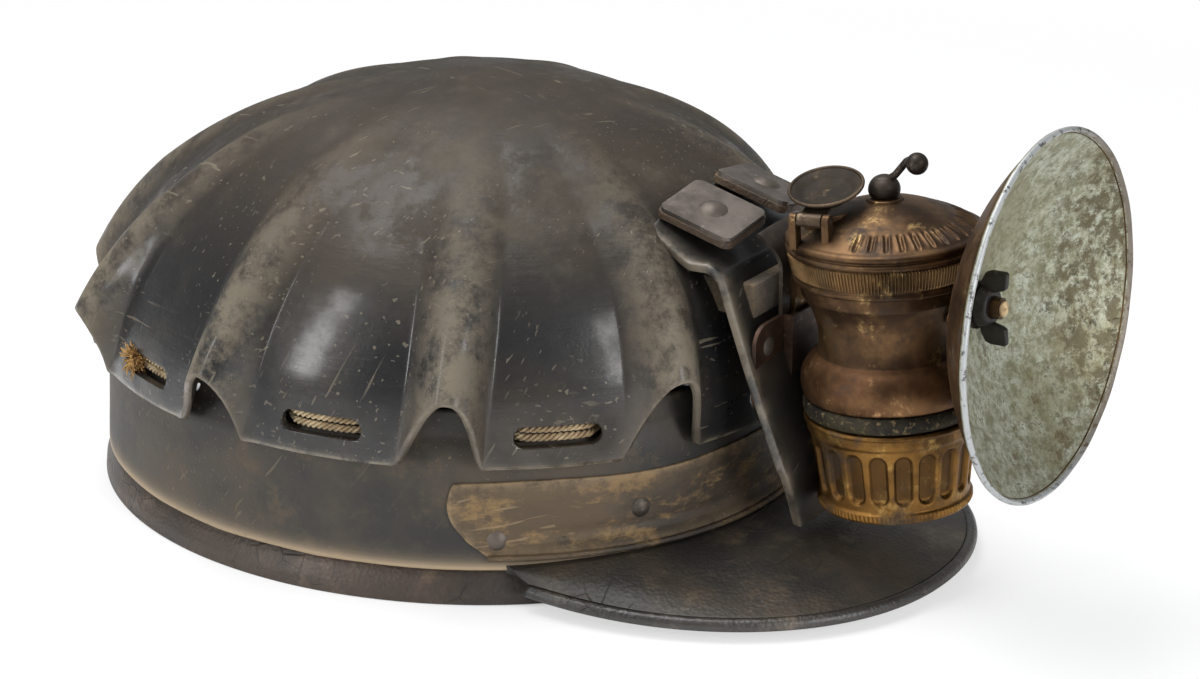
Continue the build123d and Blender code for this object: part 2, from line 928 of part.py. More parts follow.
def make_lamp_tank():
    """Water tank with a pinched waist, a flange and a hollow threaded boss below."""
    rim = ring_top + lid_lap / 2
    floor = gasket_top + flange_thickness
    outer = tank_outline(0)
    inner = tank_outline(sheet_wall)
    lines = [
        outer,
        Polyline((neck_radius, 0, neck_height), (neck_radius, 0, rim), (neck_radius - sheet_wall, 0, rim),
                 (neck_radius - sheet_wall, 0, neck_height)),
        inner,
        Polyline(inner @ 0, (tube_radius + face_gap, 0, floor), (tube_radius + face_gap, 0, gasket_top),
                 (thread_radius - sheet_wall, 0, gasket_top),
                 (thread_radius - sheet_wall, 0, cup_top - thread_depth),
                 (thread_radius, 0, cup_top - thread_depth), (thread_radius, 0, gasket_top),
                 (flange_radius, 0, gasket_top), (flange_radius, 0, flange_top), outer @ 0),
    ]
    return lamp_frame * revolve(make_face(lines), Axis.Z)


def lid_outline(inset):
    """Lid's profile from its skirt's foot to the valve boss, moved in by an inset."""
    skirt = ring_radius - inset
    return [
        (skirt, ring_bottom),
        (skirt, ring_top),
        (skirt + sheet_wall / 2, (ring_top + bead_height) / 2),
        (bead_radius - inset, bead_height - inset / 2),
        (bead_radius - inset, bead_height + sheet_wall - inset / 2),
        (shoulder_radius - inset, shoulder_height - inset),
        (dome_radius - inset / 2, dome_foot - inset),
        (dome_radius - sheet_wall, dome_foot + sheet_wall / 2 - inset),
        (dome_radius / 2, dome_top - sheet_wall / 2 - inset),
        (boss_radius, dome_top - inset),
    ]


def make_tank_lid():
    """Domed lid with a knurled skirt, a filler neck, hinge ears and the valve boss."""
    bore = rod_radius + thread_clearance
    boss = [(boss_top_radius, boss_top), (bore, boss_top), (bore, dome_top - sheet_wall)]
    lid = turned([*lid_outline(0.0), *boss, *reversed(lid_outline(sheet_wall))])
    lid -= lid_notches()
    place = Pos(-door_reach_x, door_reach_y, 0)
    neck_foot = dome_foot - 2 * sheet_wall
    neck = place * Pos(0, 0, neck_foot) * Cylinder(
        filler_radius + filler_wall, filler_top - neck_foot, align=(Align.CENTER, Align.CENTER, Align.MIN)
    )
    lid = lid + (neck - turned([(0, 0), *lid_outline(sheet_wall), (0, dome_top - sheet_wall)]))
    lid -= place * Cylinder(filler_radius, far)
    for side in (-1, 1):
        lid += hinge_ear(side)
    return lamp_frame * (lid - hinge_bore())


def lid_notches():
    """Short radial grooves round the front of the lid's shoulder."""
    slope = (dome_foot - shoulder_height) / (shoulder_radius - dome_radius)
    reach = (shoulder_radius + dome_radius) / 2
    height = (dome_foot + shoulder_height) / 2
    notches = []
    for step in range(notch_count):
        angle = notch_spread * (step / (notch_count - 1) - 1 / 2)
        cutter = Box(notch_width, notch_length, 2 * notch_depth)
        tilted = Pos(0, -reach, height) * Rot(degrees(slope), 0, 0) * cutter
        notches.append(Rot(0, 0, angle) * tilted)
    return notches


def hinge_ear(side):
    """Ear on the lid beside the door's knuckle."""
    offset = side * (door_floor_radius / 2 + hinge_side_gap + hinge_ear_width / 2)
    round_end = Rot(90, 0, 0) * Cylinder(hinge_ear_radius, hinge_ear_width)
    post_height = filler_top + door_lift - shoulder_height
    post = Box(
        2 * hinge_ear_radius, hinge_ear_width, post_height, align=(Align.CENTER, Align.CENTER, Align.MAX)
    )
    ear = hinge_frame * Pos(0, offset, 0) * (round_end + post)
    return ear - turned([(0, 0), *lid_outline(sheet_wall / 2), (0, dome_top)])


def hinge_bore():
    return hinge_frame * Rot(90, 0, 0) * Cylinder(hinge_pin_radius + hinge_bore_gap, hinge_pin_length * 2)


def make_door_pin():
    """Wire pin through the lid's ears and the door's knuckle."""
    return lamp_frame * hinge_frame * Rot(90, 0, 0) * Cylinder(hinge_pin_radius, hinge_pin_length)


def make_water_door():
    """Dished filler door, standing slightly open."""
    dish = turned([
        (0, 0),
        (door_floor_radius, 0),
        (door_radius, door_depth),
        (door_radius - door_sheet, door_depth + door_sheet / 2),
        (door_floor_radius - door_sheet / 2, door_sheet),
        (0, door_sheet),
    ])
    tab = Pos(-hinge_reach, 0, door_sheet / 2) * Box(
        hinge_reach - door_floor_radius + door_sheet, door_floor_radius, door_sheet,
        align=(Align.MIN, Align.CENTER, Align.CENTER)
    )
    knuckle = Pos(-hinge_reach, 0, 0) * Rot(90, 0, 0) * Cylinder(hinge_ear_radius, door_floor_radius)
    door = dish + tab + knuckle
    bore = Rot(90, 0, 0) * Cylinder(hinge_pin_radius + hinge_bore_gap, drill_length)
    door -= Pos(-hinge_reach, 0, 0) * bore
    opened = Pos(-hinge_reach, 0, 0) * Rot(0, -door_open_angle, 0) * Pos(hinge_reach, 0, 0)
    return lamp_frame * door_frame * opened * door


def make_valve_lever():
    """Bent wire lever with a ball end, on a hub over the valve boss."""
    hub_foot = boss_top + face_gap
    hub_top = hub_foot + lever_hub_height
    hub = Pos(0, 0, hub_foot) * Cylinder(
        lever_hub_radius, lever_hub_height, align=(Align.CENTER, Align.CENTER, Align.MIN)
    )
    ball_place = (0, -lever_reach, hub_top + lever_rise)
    path = FilletPolyline(
        (0, 0, hub_top - lever_wire_radius),
        (0, -lever_reach / 3, hub_top + lever_wire_radius),
        (0, -lever_reach * 3 / 4, hub_top + lever_rise + lever_wire_radius),
        ball_place,
        radius=[lever_turn_radius, lever_turn_radius / 2],
    )
    wire = swept_tube(path, lever_wire_radius)
    return lamp_frame * (hub + wire + Pos(*ball_place) * Sphere(lever_ball_radius))


def make_valve_rod():
    """Rod from the lever down through the water tube."""
    top = boss_top + face_gap
    rod = Pos(0, 0, rod_foot) * Cylinder(
        rod_radius, top - rod_foot, align=(Align.CENTER, Align.CENTER, Align.MIN)
    )
    return lamp_frame * rod


def make_water_tube():
    """Tube that carries drops of water through the tank's floor."""
    top = dome_top - sheet_wall
    tube = turned([(tube_bore, tube_foot), (tube_radius, tube_foot), (tube_radius, top), (tube_bore, top)])
    return lamp_frame * tube


def make_filter_felt():
    """Felt disc that keeps lime out of the gas way."""
    return lamp_frame * Pos(0, 0, filter_place - filter_thickness / 2) * Cylinder(
        filter_radius, filter_thickness
    )


def make_filter_retainer():
    """Punched plate under the felt disc."""
    foot = filter_place - filter_thickness - retainer_thickness / 2
    plate = Cylinder(filter_radius, retainer_thickness)
    holes = PolarLocations(filter_radius / 2, retainer_hole_count) * Cylinder(tube_radius / 2, overrun)
    return lamp_frame * Pos(0, 0, foot) * (plate - holes)


def lamp_envelope():
    """Everything inside the tank's and lid's outer surfaces."""
    tank = make_face([
        tank_outline(0),
        Polyline((neck_radius, 0, neck_height), (neck_radius, 0, ring_bottom), (0, 0, ring_bottom),
                 (0, 0, flange_top), (flange_radius - sheet_wall, 0, flange_top)),
    ])
    lid = turned([(0, ring_bottom), *lid_outline(0.0), (0, dome_top)])
    return lamp_frame * (revolve(tank, Axis.Z) + lid)


def make_burner_seat():
    """Conical brass seat between the tank and the reflector's back."""
    back = -seat_length
    bore = stem_radius + face_gap
    seat = turned([
        (bore, back),
        (seat_back_radius, back),
        (seat_front_radius, -dish_wall),
        (bore, -dish_wall),
    ])
    return dish_frame * seat - lamp_envelope()


def make_reflector():
    """Spun metal reflector with a rolled rim."""
    middle = dish_radius * dish_middle_radius_share
    line = ThreePointArc(
        (dish_hub, 0, 0), (middle, 0, dish_depth * dish_middle_share), (dish_radius, 0, dish_depth)
    )
    back = ThreePointArc(
        (dish_hub, 0, -dish_wall),
        (middle + dish_wall / 3, 0, dish_depth * dish_middle_share - dish_wall),
        (dish_radius + dish_wall / 2, 0, dish_depth - dish_wall / 2),
    )
    hub = stem_radius + 2 * face_gap
    face = make_face([
        line,
        back,
        Line(line @ 1, back @ 1),
        Polyline(line @ 0, (hub, 0, 0), (hub, 0, -dish_wall), back @ 0),
    ])
    dish = revolve(face, Axis.Z)
    rim = Pos(0, 0, dish_depth) * Torus(dish_radius, dish_rim_radius)
    return dish_frame * (dish + rim)


def make_burner_stem():
    """Threaded gas tube from the tank through seat, reflector and wing nut."""
    stem = turned([
        (stem_bore, -stem_back),
        (stem_radius, -stem_back),
        (stem_radius, stem_front),
        (stem_bore, stem_front),
    ])
    return dish_frame * stem - lamp_envelope()


def make_nut_washer():
    washer = turned([
        (stem_radius + nut_clearance, face_gap),
        (washer_radius, face_gap),
        (washer_radius, face_gap + washer_thickness),
        (stem_radius + nut_clearance, face_gap + washer_thickness),
    ])
    return dish_frame * washer


def make_wing_nut():
    """Wing nut that holds the reflector on the burner stem."""
    foot = 2 * face_gap + washer_thickness
    hub = Pos(0, 0, foot) * Cylinder(nut_radius, nut_height, align=(Align.CENTER, Align.CENTER, Align.MIN))
    for side in (-1, 1):
        wing_centre = (nut_radius + wing_span) / 2 - sheet_wall
        wing = Box(wing_thickness, wing_span - nut_radius + 2 * sheet_wall, wing_height)
        hub += Pos(0, side * wing_centre, foot + nut_height / 2 + wing_height / 4) * wing
    return dish_frame * (hub - Cylinder(stem_radius + nut_clearance, drill_length))


def make_burner_tip():
    """Small ceramic jet at the stem's end."""
    tip = turned([
        (tip_bore, stem_front + face_gap),
        (tip_radius + sheet_wall, stem_front + face_gap),
        (tip_radius, stem_front + face_gap + tip_length / 2),
        (tip_radius / 2 + tip_bore, stem_front + face_gap + tip_length),
        (tip_bore, stem_front + face_gap + tip_length),
    ])
    return dish_frame * tip


def make_lamp_hook():
    """Flat hook on the tank's back that drops into the keeper's channel."""
    back = -strap_front - hook_plane_gap
    blade = Pos(0, back, hook_foot) * Box(
        2 * hook_half_width, hook_thickness, hook_top - hook_foot, align=(Align.CENTER, Align.MAX, Align.MIN)
    )
    foot = Pos(0, back, hook_top) * Box(
        2 * hook_half_width, 4 * overrun, hook_pad_height, align=(Align.CENTER, Align.MAX, Align.MAX)
    )
    return (blade + foot) - lamp_envelope() - lamp_frame * Cylinder(neck_radius, far)


makers = {
    "crown_shell": make_crown_shell,
    "lacing_cord": make_lacing_cord,
    "lacing_knot": make_lacing_knot,
    "cap_band": make_cap_band,
    "sweatband": make_sweatband,
    "cradle": make_cradle,
    "cradle_drawstring": make_cradle_drawstring,
    "visor": make_visor,
    "visor_binding": make_visor_binding,
    "visor_strip": make_visor_strip,
    "strip_rivets": make_strip_rivets,
    "lamp_strap": make_lamp_strap,
    "strap_pads": make_strap_pads,
    "plate_rivets": make_plate_rivets,
    "holder_strip": make_holder_strip,
    "keeper_plate": make_keeper_plate,
    "keeper_rivets": make_keeper_rivets,
    "front_felt": make_front_felt,
    "carbide_cup": make_carbide_cup,
    "gasket": make_gasket,
    "lamp_tank": make_lamp_tank,
    "tank_lid": make_tank_lid,
    "door_pin": make_door_pin,
    "water_door": make_water_door,
    "valve_lever": make_valve_lever,
    "valve_rod": make_valve_rod,
    "water_tube": make_water_tube,
    "filter_felt": make_filter_felt,
    "filter_retainer": make_filter_retainer,
    "burner_seat": make_burner_seat,
    "reflector": make_reflector,
    "burner_stem": make_burner_stem,
    "nut_washer": make_nut_washer,
    "wing_nut": make_wing_nut,
    "burner_tip": make_burner_tip,
    "lamp_hook": make_lamp_hook,
}

for node, maker in makers.items():
    save(maker(), node)
for node, frame in zip(("right_clamp_plate", "left_clamp_plate"), plate_frames()):
    save(make_clamp_plate(frame), node)
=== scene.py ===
import json
import math
import random

import bmesh
import bpy
import numpy as np
from mathutils import Matrix, Vector

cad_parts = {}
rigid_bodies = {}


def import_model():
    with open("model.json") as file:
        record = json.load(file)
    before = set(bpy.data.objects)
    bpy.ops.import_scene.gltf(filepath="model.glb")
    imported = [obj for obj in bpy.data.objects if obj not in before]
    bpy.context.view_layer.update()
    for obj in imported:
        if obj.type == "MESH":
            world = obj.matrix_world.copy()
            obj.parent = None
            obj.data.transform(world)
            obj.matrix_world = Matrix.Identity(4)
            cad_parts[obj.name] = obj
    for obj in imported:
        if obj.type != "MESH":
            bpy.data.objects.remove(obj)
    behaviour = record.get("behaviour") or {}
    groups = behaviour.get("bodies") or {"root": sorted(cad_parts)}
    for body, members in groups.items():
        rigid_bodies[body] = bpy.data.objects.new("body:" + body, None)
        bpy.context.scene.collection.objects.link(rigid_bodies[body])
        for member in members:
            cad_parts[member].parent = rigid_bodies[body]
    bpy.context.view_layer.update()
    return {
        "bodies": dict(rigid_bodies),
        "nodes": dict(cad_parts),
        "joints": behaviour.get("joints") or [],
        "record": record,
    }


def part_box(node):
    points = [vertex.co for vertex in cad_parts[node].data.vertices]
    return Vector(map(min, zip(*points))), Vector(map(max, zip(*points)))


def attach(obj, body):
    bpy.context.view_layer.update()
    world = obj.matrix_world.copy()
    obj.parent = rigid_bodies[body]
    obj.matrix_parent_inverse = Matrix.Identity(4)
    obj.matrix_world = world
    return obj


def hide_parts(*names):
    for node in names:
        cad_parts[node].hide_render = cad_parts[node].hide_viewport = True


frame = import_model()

nodes = frame["nodes"]
scene = bpy.context.scene
MM = 0.001

# Camera
# A long lens at the height of a low table, off the wearer's right front. The image is
# 1200 by 679, so the lens follows from the focal length in pixels.
image_width = 1200
sensor_width = 36.0
focal_pixels = 3000.0
camera_distance = 900.0
camera_azimuth = math.radians(56.0)
camera_height_angle = math.radians(20.8)
camera_target = Vector((0.9, -50.5, 51.7))

toward_camera = Vector((
    -math.sin(camera_azimuth) * math.cos(camera_height_angle),
    -math.cos(camera_azimuth) * math.cos(camera_height_angle),
    math.sin(camera_height_angle),
))
camera_data = bpy.data.cameras.new("photo_camera")
camera_data.sensor_width = sensor_width
camera_data.lens = focal_pixels / image_width * sensor_width
camera_data.clip_start = 0.05
camera = bpy.data.objects.new("photo_camera", camera_data)
camera.location = (camera_target + toward_camera * camera_distance) * MM
camera.rotation_euler = (-toward_camera).to_track_quat("-Z", "Y").to_euler()
scene.collection.objects.link(camera)
scene.camera = camera
scene.view_settings.view_transform = "Standard"


# Light and floor
# White paper sweep under a large overhead softbox, a window-like side light that draws the
# long glints on the crown, and a weak front light that fills the lamp.
class Socket:
    """A shader value with arithmetic: each operation adds one Math node."""

    def __init__(self, finish, link):
        self.finish = finish
        self.link = link

    def work(self, operation, first, second):
        return self.finish.node("ShaderNodeMath", {"operation": operation}, {0: first, 1: second})

    def __add__(self, other):
        return self.work("ADD", self, other)

    def __sub__(self, other):
        return self.work("SUBTRACT", self, other)

    def __rsub__(self, other):
        return self.work("SUBTRACT", other, self)

    def __mul__(self, other):
        return self.work("MULTIPLY", self, other)

    __radd__, __rmul__ = __add__, __mul__

    def clamp(self):
        return self.finish.node("ShaderNodeClamp", {}, {0: self})

    def rise(self, low, high):
        """0 below low, 1 above high, smooth between."""
        return self.finish.node(
            "ShaderNodeMapRange", {"interpolation_type": "SMOOTHSTEP"}, {0: self, 1: low, 2: high}
        )


class Finish:
    """A material whose nodes are added by one method, node()."""

    def __init__(self, name):
        self.material = bpy.data.materials.new(name)
        self.material.use_nodes = True
        self.tree = self.material.node_tree
        self.shader = self.tree.nodes["Principled BSDF"]
        self.output = self.tree.nodes["Material Output"]
        self.place = self.node("ShaderNodeTexCoord", output="Object")

    def node(self, kind, settings=(), sockets=(), output=0):
        new = self.tree.nodes.new(kind)
        for key, value in dict(settings).items():
            setattr(new, key, value)
        for key, value in dict(sockets).items():
            self.join(new.inputs[key], value)
        return Socket(self, new.outputs[output])

    def join(self, target, value):
        if isinstance(value, Socket):
            self.tree.links.new(value.link, target)
        elif isinstance(value, (tuple, list)) and len(value) == 3 and len(target.default_value) == 4:
            target.default_value = (*value, 1.0)
        else:
            target.default_value = value

    def noise(self, scale, detail=4.0, roughness=0.55, stretch=None, where=None):
        """Cloudy value from 0 to 1, its scale in patches for each metre."""
        where = where or self.place
        if stretch:
            where = self.node("ShaderNodeMapping", {}, {"Vector": where, "Scale": stretch})
        sockets = {"Vector": where, "Scale": scale, "Detail": detail, "Roughness": roughness}
        return self.node("ShaderNodeTexNoise", {}, sockets)

    def cells(self, scale, feature="F1"):
        sockets = {"Vector": self.place, "Scale": scale}
        return self.node("ShaderNodeTexVoronoi", {"feature": feature}, sockets, output="Distance")

    def attribute(self, name):
        return self.node("ShaderNodeAttribute", {"attribute_name": name}, output="Fac")

    def mix(self, share, first, second):
        return self.node("ShaderNodeMix", {"data_type": "RGBA"}, {0: share, 6: first, 7: second}, output=2)

    def layers(self, colour, *coats):
        """A colour with further colours laid over it, each by its share."""
        for share, coat in coats:
            colour = self.mix(share, colour, coat)
        return colour

    def hairs(self, scale, angle, width):
        """Thin scattered straight scratches that run one way."""
        turn = self.node("ShaderNodeMapping", {}, {"Vector": self.place, "Rotation": angle})
        long = self.noise(scale * 28.0, 1.0, 0.4, (0.035, 1.0, 1.0), turn)
        patch = self.noise(scale * 0.9, 2.0, 0.5, None, turn).rise(0.45, 0.62)
        return long.rise(0.72 - width, 0.75 - width) * patch

    def finish(self, **sockets):
        names = {"colour": "Base Color", "roughness": "Roughness", "metallic": "Metallic", "coat": "Coat Weight",
                 "coat_roughness": "Coat Roughness", "sheen": "Sheen Weight", "specular": "Specular IOR Level",
                 "normal": "Normal"}
        for key, value in sockets.items():
            self.join(self.shader.inputs[names[key]], value)
        return self.material

    def bump(self, height, depth):
        return self.node("ShaderNodeBump", {}, {"Height": height, "Distance": depth * MM})


paper_white = (0.93, 0.93, 0.93)
sky_strength = 0.34
floor_reach = 6.0
glow_shape = (10.2, 9.0, 0.0)
world = bpy.data.worlds.new("studio")
scene.world = world
world.use_nodes = True
sky = world.node_tree
background = sky.nodes["Background"]
sky_output = sky.nodes["World Output"]
path = sky.nodes.new("ShaderNodeLightPath")
white = sky.nodes.new("ShaderNodeBackground")
white.inputs["Color"].default_value = (1.0, 1.0, 1.0, 1.0)
white.inputs["Strength"].default_value = 1.0
background.inputs["Color"].default_value = (0.93, 0.96, 1.0, 1.0)
background.inputs["Strength"].default_value = sky_strength
sky_mix = sky.nodes.new("ShaderNodeMixShader")
sky.links.new(path.outputs["Is Camera Ray"], sky_mix.inputs[0])
sky.links.new(background.outputs[0], sky_mix.inputs[1])
sky.links.new(white.outputs[0], sky_mix.inputs[2])
sky.links.new(sky_mix.outputs[0], sky_output.inputs[0])


def soft_light(name, place, aim, size, power, colour=(1.0, 1.0, 1.0)):
    """Rectangular softbox, its place and aim in millimetres."""
    data = bpy.data.lights.new(name, "AREA")
    data.shape = "RECTANGLE"
    data.size, data.size_y = size[0] * MM, size[1] * MM
    data.energy = power
    data.color = colour
    lamp = bpy.data.objects.new(name, data)
    lamp.location = Vector(place) * MM
    lamp.rotation_euler = (Vector(aim) - Vector(place)).to_track_quat("-Z", "Y").to_euler()
    scene.collection.objects.link(lamp)


soft_light("top_softbox", (-60, 160, 900), (0, -20, 60), (800, 600), 10.0)
soft_light("side_window", (-900, 330, 420), (0, -20, 50), (140, 620), 3.2)
soft_light("front_fill", (-250, -950, 330), (0, -110, 70), (300, 600), 5.0)

floor_mesh = bpy.data.meshes.new("floor")
floor_corners = [(x * floor_reach, y * floor_reach, 0) for x, y in ((-1, -1), (1, -1), (1, 1), (-1, 1))]
floor_mesh.from_pydata(floor_corners, [], [(0, 1, 2, 3)])
floor = bpy.data.objects.new("floor", floor_mesh)
scene.collection.objects.link(floor)
paper = Finish("paper_floor")
paper.finish(colour=paper_white, roughness=0.9)
glow = paper.node("ShaderNodeEmission", {}, {"Color": (1.0, 1.0, 1.0), "Strength": 1.0})
under = paper.node("ShaderNodeMapping", {}, {"Vector": paper.place, "Scale": glow_shape})
away = paper.node("ShaderNodeVectorMath", {"operation": "LENGTH"}, {0: under}, output=1)
# the paper glows white to the camera beyond the helmet's own shadow
bright = away.rise(0.97, 1.03) * (0.6 + 0.4 * away.rise(2.2, 7.0))
seen = paper.node("ShaderNodeLightPath", output="Is Camera Ray") * bright
lit = Socket(paper, paper.shader.outputs[0])
shown = paper.node("ShaderNodeMixShader", {}, {0: seen, 1: lit, 2: glow})
paper.join(paper.output.inputs[0], shown)
floor_mesh.materials.append(paper.material)


# Crown
# One shell of hard vulcanised fibre, pressed into ten ribs that open as arches at the hem.
# The skin is dark and half glossy; ribs, hem and scratches have worn to a pale grey-tan.
hem_half_length = 113.0
hem_half_width = 99.0
hem_height = 42.0
hem_centre = 4.0
dome_rise = 84.0
dome_lead = 13.0
dome_fullness = 0.92
crown_wall = 2.3
rib_angles = (25.0, 59.0, 95.5, 131.0, 163.0)
rib_height = 14.0
rib_half_width = 12.0
rib_roundness = 1.9
rib_start = 0.17
rib_end_rise = 19.0
rib_end_step = 8.0
hem_overrun = 0.6
widest_rib = 0.64
slot_length = 25.0
slot_height = 6.4
slot_rise = 9.3
slot_corners = 24
slot_cut_depth = 6.0
crown_turns = 640
crown_rows = 104
crown_top_share = 0.012
meridian_length = 122.0
lip_rise = 1.1
lip_reach = 3.2
lip_place = 0.93
dent_depth = 0.8
dent_pitch = 0.012
top_sink = 1.3
top_unevenness = 3.2

wave_count = 7
wave_pitch = 5.0

all_ribs = sorted(side * angle for angle in rib_angles for side in (-1, 1))
panel_angles = [(low + high) / 2 for low, high in zip(all_ribs, all_ribs[1:] + [all_ribs[0] + 360.0])]


def swell_at(share):
    """Share of the hem's size, forward shift and height at a share of the way down the dome."""
    angle = share * math.pi / 2
    return np.sin(angle) ** dome_fullness, hem_centre - dome_lead * (1 - share ** 2), np.cos(angle)


def oval_place(turn, half_length, half_width, centre, height):
    """Point at a turn round a level oval, 0 at the front and growing to the wearer's right."""
    return Vector((-half_width * math.sin(turn), centre - half_length * math.cos(turn), height))


def oval_row(turns, half_length, half_width, centre, height):
    """Row of points round a level oval."""
    return np.stack([
        -half_width * np.sin(turns), centre - half_length * np.cos(turns), np.full_like(turns, height)
    ], -1)


def share_at(height):
    """How far down the dome a height lies."""
    return math.acos((height - hem_height) / dome_rise) / (math.pi / 2)


def oval_speed(turn):
    return np.hypot(hem_half_width * np.cos(turn), hem_half_length * np.sin(turn))


def rib_bump(turn, swell):
    """1 on a rib's crest, 0 on the panels, with the distance from the nearest rib in rib half widths."""
    total = np.zeros_like(turn)
    nearest = np.full_like(turn, 9.0)
    for rib in np.radians(all_ribs):
        away = (turn - rib + np.pi) % (2 * np.pi) - np.pi
        place = np.abs(away) * oval_speed(rib) * np.maximum(swell, widest_rib) / rib_half_width
        total += np.where(place < 1, np.cos(np.clip(place, 0, 1) * np.pi / 2) ** rib_roundness, 0)
        nearest = np.minimum(nearest, place)
    return total, nearest


def waves(first, second, seed):
    """Smooth irregular unevenness from a few crossing waves, the same on each run."""
    draw = np.random.default_rng(seed)
    total = np.zeros_like(first)
    for _ in range(wave_count):
        along, across, start = draw.uniform(-1, 1), draw.uniform(-1, 1), draw.uniform(0, 6.3)
        total += np.sin((along * first + across * second) * wave_pitch + start)
    return total / wave_count


def crown_surface(turn, share):
    """Points in millimetres on the crown's skin, with the rib masks."""
    swell, centre, level = swell_at(share)
    bump, nearest = rib_bump(turn, swell)
    growth = np.clip((share - rib_start) / (1 - rib_start), 0, 1)
    out = rib_height * growth * bump
    x = -(hem_half_width * swell + out) * np.sin(turn)
    y = centre - (hem_half_length * swell + out) * np.cos(turn)
    z = hem_height + dome_rise * level
    return np.stack([x, y, z], -1), bump, nearest, growth


def hem_share(turn):
    """How far down each meridian runs before the slanted cut at the ribs' ends."""
    shares = np.linspace(0.7, 1.0, 601)
    grid_turn, grid_share = np.meshgrid(turn, shares, indexing="ij")
    place, _, _, _ = crown_surface(grid_turn, grid_share)
    spread = hem_overrun + rib_end_step * (place[..., 2] - hem_height) / rib_end_rise
    ring = np.hypot(
        place[..., 0] / (hem_half_width + spread), (place[..., 1] - hem_centre) / (hem_half_length + spread)
    )
    outside = (ring > 1) & (place[..., 2] < hem_height + 2 * rib_end_rise)
    first = np.where(outside.any(1), outside.argmax(1), len(shares) - 1)
    cut = shares[first]
    kernel = np.array([0.25, 0.5, 0.25])
    return np.convolve(np.concatenate([cut[-1:], cut, cut[:1]]), kernel, "valid")


def mesh_piece(name, points, faces, marks=(), smooth=True):
    """Object from points in millimetres; marks are named values at each point."""
    mesh = bpy.data.meshes.new(name)
    mesh.from_pydata((np.asarray(points, float) * MM).tolist(), [], faces)
    for key, values in dict(marks).items():
        layer = mesh.attributes.new(key, "FLOAT", "POINT")
        layer.data.foreach_set("value", np.asarray(values, np.float32).ravel())
    mesh.polygons.foreach_set("use_smooth", [smooth] * len(mesh.polygons))
    mesh.update()
    piece = bpy.data.objects.new(name, mesh)
    scene.collection.objects.link(piece)
    return piece


def grid_faces(rows, columns, round_rows=False, round_columns=False, start=0):
    """Quads of a grid of points stored row after row."""
    faces = []
    for row in range(rows if round_rows else rows - 1):
        for column in range(columns if round_columns else columns - 1):
            after = (column + 1) % columns
            below = (row + 1) % rows
            faces.append((
                start + row * columns + column, start + row * columns + after,
                start + below * columns + after, start + below * columns + column,
            ))
    return faces


def thicken(piece, thickness, offset=-1.0, rim=None):
    """Adds wall thickness in millimetres, to the inside unless offset says so."""
    wall = piece.modifiers.new("wall", "SOLIDIFY")
    wall.thickness = thickness * MM
    wall.offset = offset
    wall.use_even_offset = True
    if rim is not None:
        wall.material_offset_rim = rim


def soften(piece, width, segments=2, angle=35.0):
    """Rounds the sharp edges of a piece."""
    bevel = piece.modifiers.new("worn_edges", "BEVEL")
    bevel.width = width * MM
    bevel.segments = segments
    bevel.limit_method = "ANGLE"
    bevel.angle_limit = math.radians(angle)


def settle(piece, materials, body, node=None):
    """Gives a piece its materials, its body and the node that it stands for."""
    for material in materials if isinstance(materials, list) else [materials]:
        piece.data.materials.append(material)
    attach(piece, body)
    if node:
        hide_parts(node)


def bake_down(piece):
    """Turns a piece's modifiers into plain mesh."""
    graph = bpy.context.evaluated_depsgraph_get()
    done = bpy.data.meshes.new_from_object(piece.evaluated_get(graph))
    piece.modifiers.clear()
    piece.data = done


turns = np.linspace(-math.pi, math.pi, crown_turns, endpoint=False)
ends = hem_share(turns)
down = np.linspace(0.0, 1.0, crown_rows)[:, None] ** 0.9
turn_grid = np.broadcast_to(turns, (crown_rows, crown_turns)).copy()
share_grid = crown_top_share + (ends[None, :] - crown_top_share) * down
skin, bump_mask, rib_near, growth_mask = crown_surface(turn_grid, share_grid)
hem_reach = (ends[None, :] - share_grid) * meridian_length
lip = np.exp(-(hem_reach / lip_reach) ** 2) * np.exp(-((rib_near - lip_place) / 0.2) ** 2)
crest_wear = bump_mask * growth_mask
out_way = skin * np.array([1.0, 1.0, 0.0]) - np.array([0.0, hem_centre, 0.0])
out_way /= np.maximum(np.linalg.norm(out_way, axis=-1, keepdims=True), 1.0)
fade = np.clip(hem_reach / 8.0, 0, 1)[..., None]
side_place, front_place = skin[..., 0] * dent_pitch, skin[..., 1] * dent_pitch
dents = waves(side_place, front_place, 3) * 0.9 + waves(skin[..., 2] * 0.03, turn_grid, 5) * 0.35
high = np.clip(1 - share_grid / 0.62, 0, 1) ** 0.7
skin[..., 2] -= high * (top_sink + top_unevenness * waves(side_place, front_place, 12))
skin += out_way * (lip * lip_rise)[..., None] - out_way * (np.abs(dents) * dent_depth)[..., None] * fade
marks = {
    "crest": crest_wear,
    "hem": np.exp(-hem_reach / 0.55),
    "near_hem": np.exp(-hem_reach / 14.0),
    "flank": np.exp(-((rib_near - 0.75) / 0.3) ** 2) * growth_mask,
}
faces = grid_faces(crown_rows, crown_turns, round_columns=True)
top = len(skin.reshape(-1, 3))
points = np.concatenate([skin.reshape(-1, 3), [skin[0].mean(0)]])
faces += [(column, top, (column + 1) % crown_turns) for column in range(crown_turns)]
marks = {key: np.append(value.ravel(), 0.0) for key, value in marks.items()}
crown = mesh_piece("crown_shell_skin", points, faces, marks)
crown.data.flip_normals()


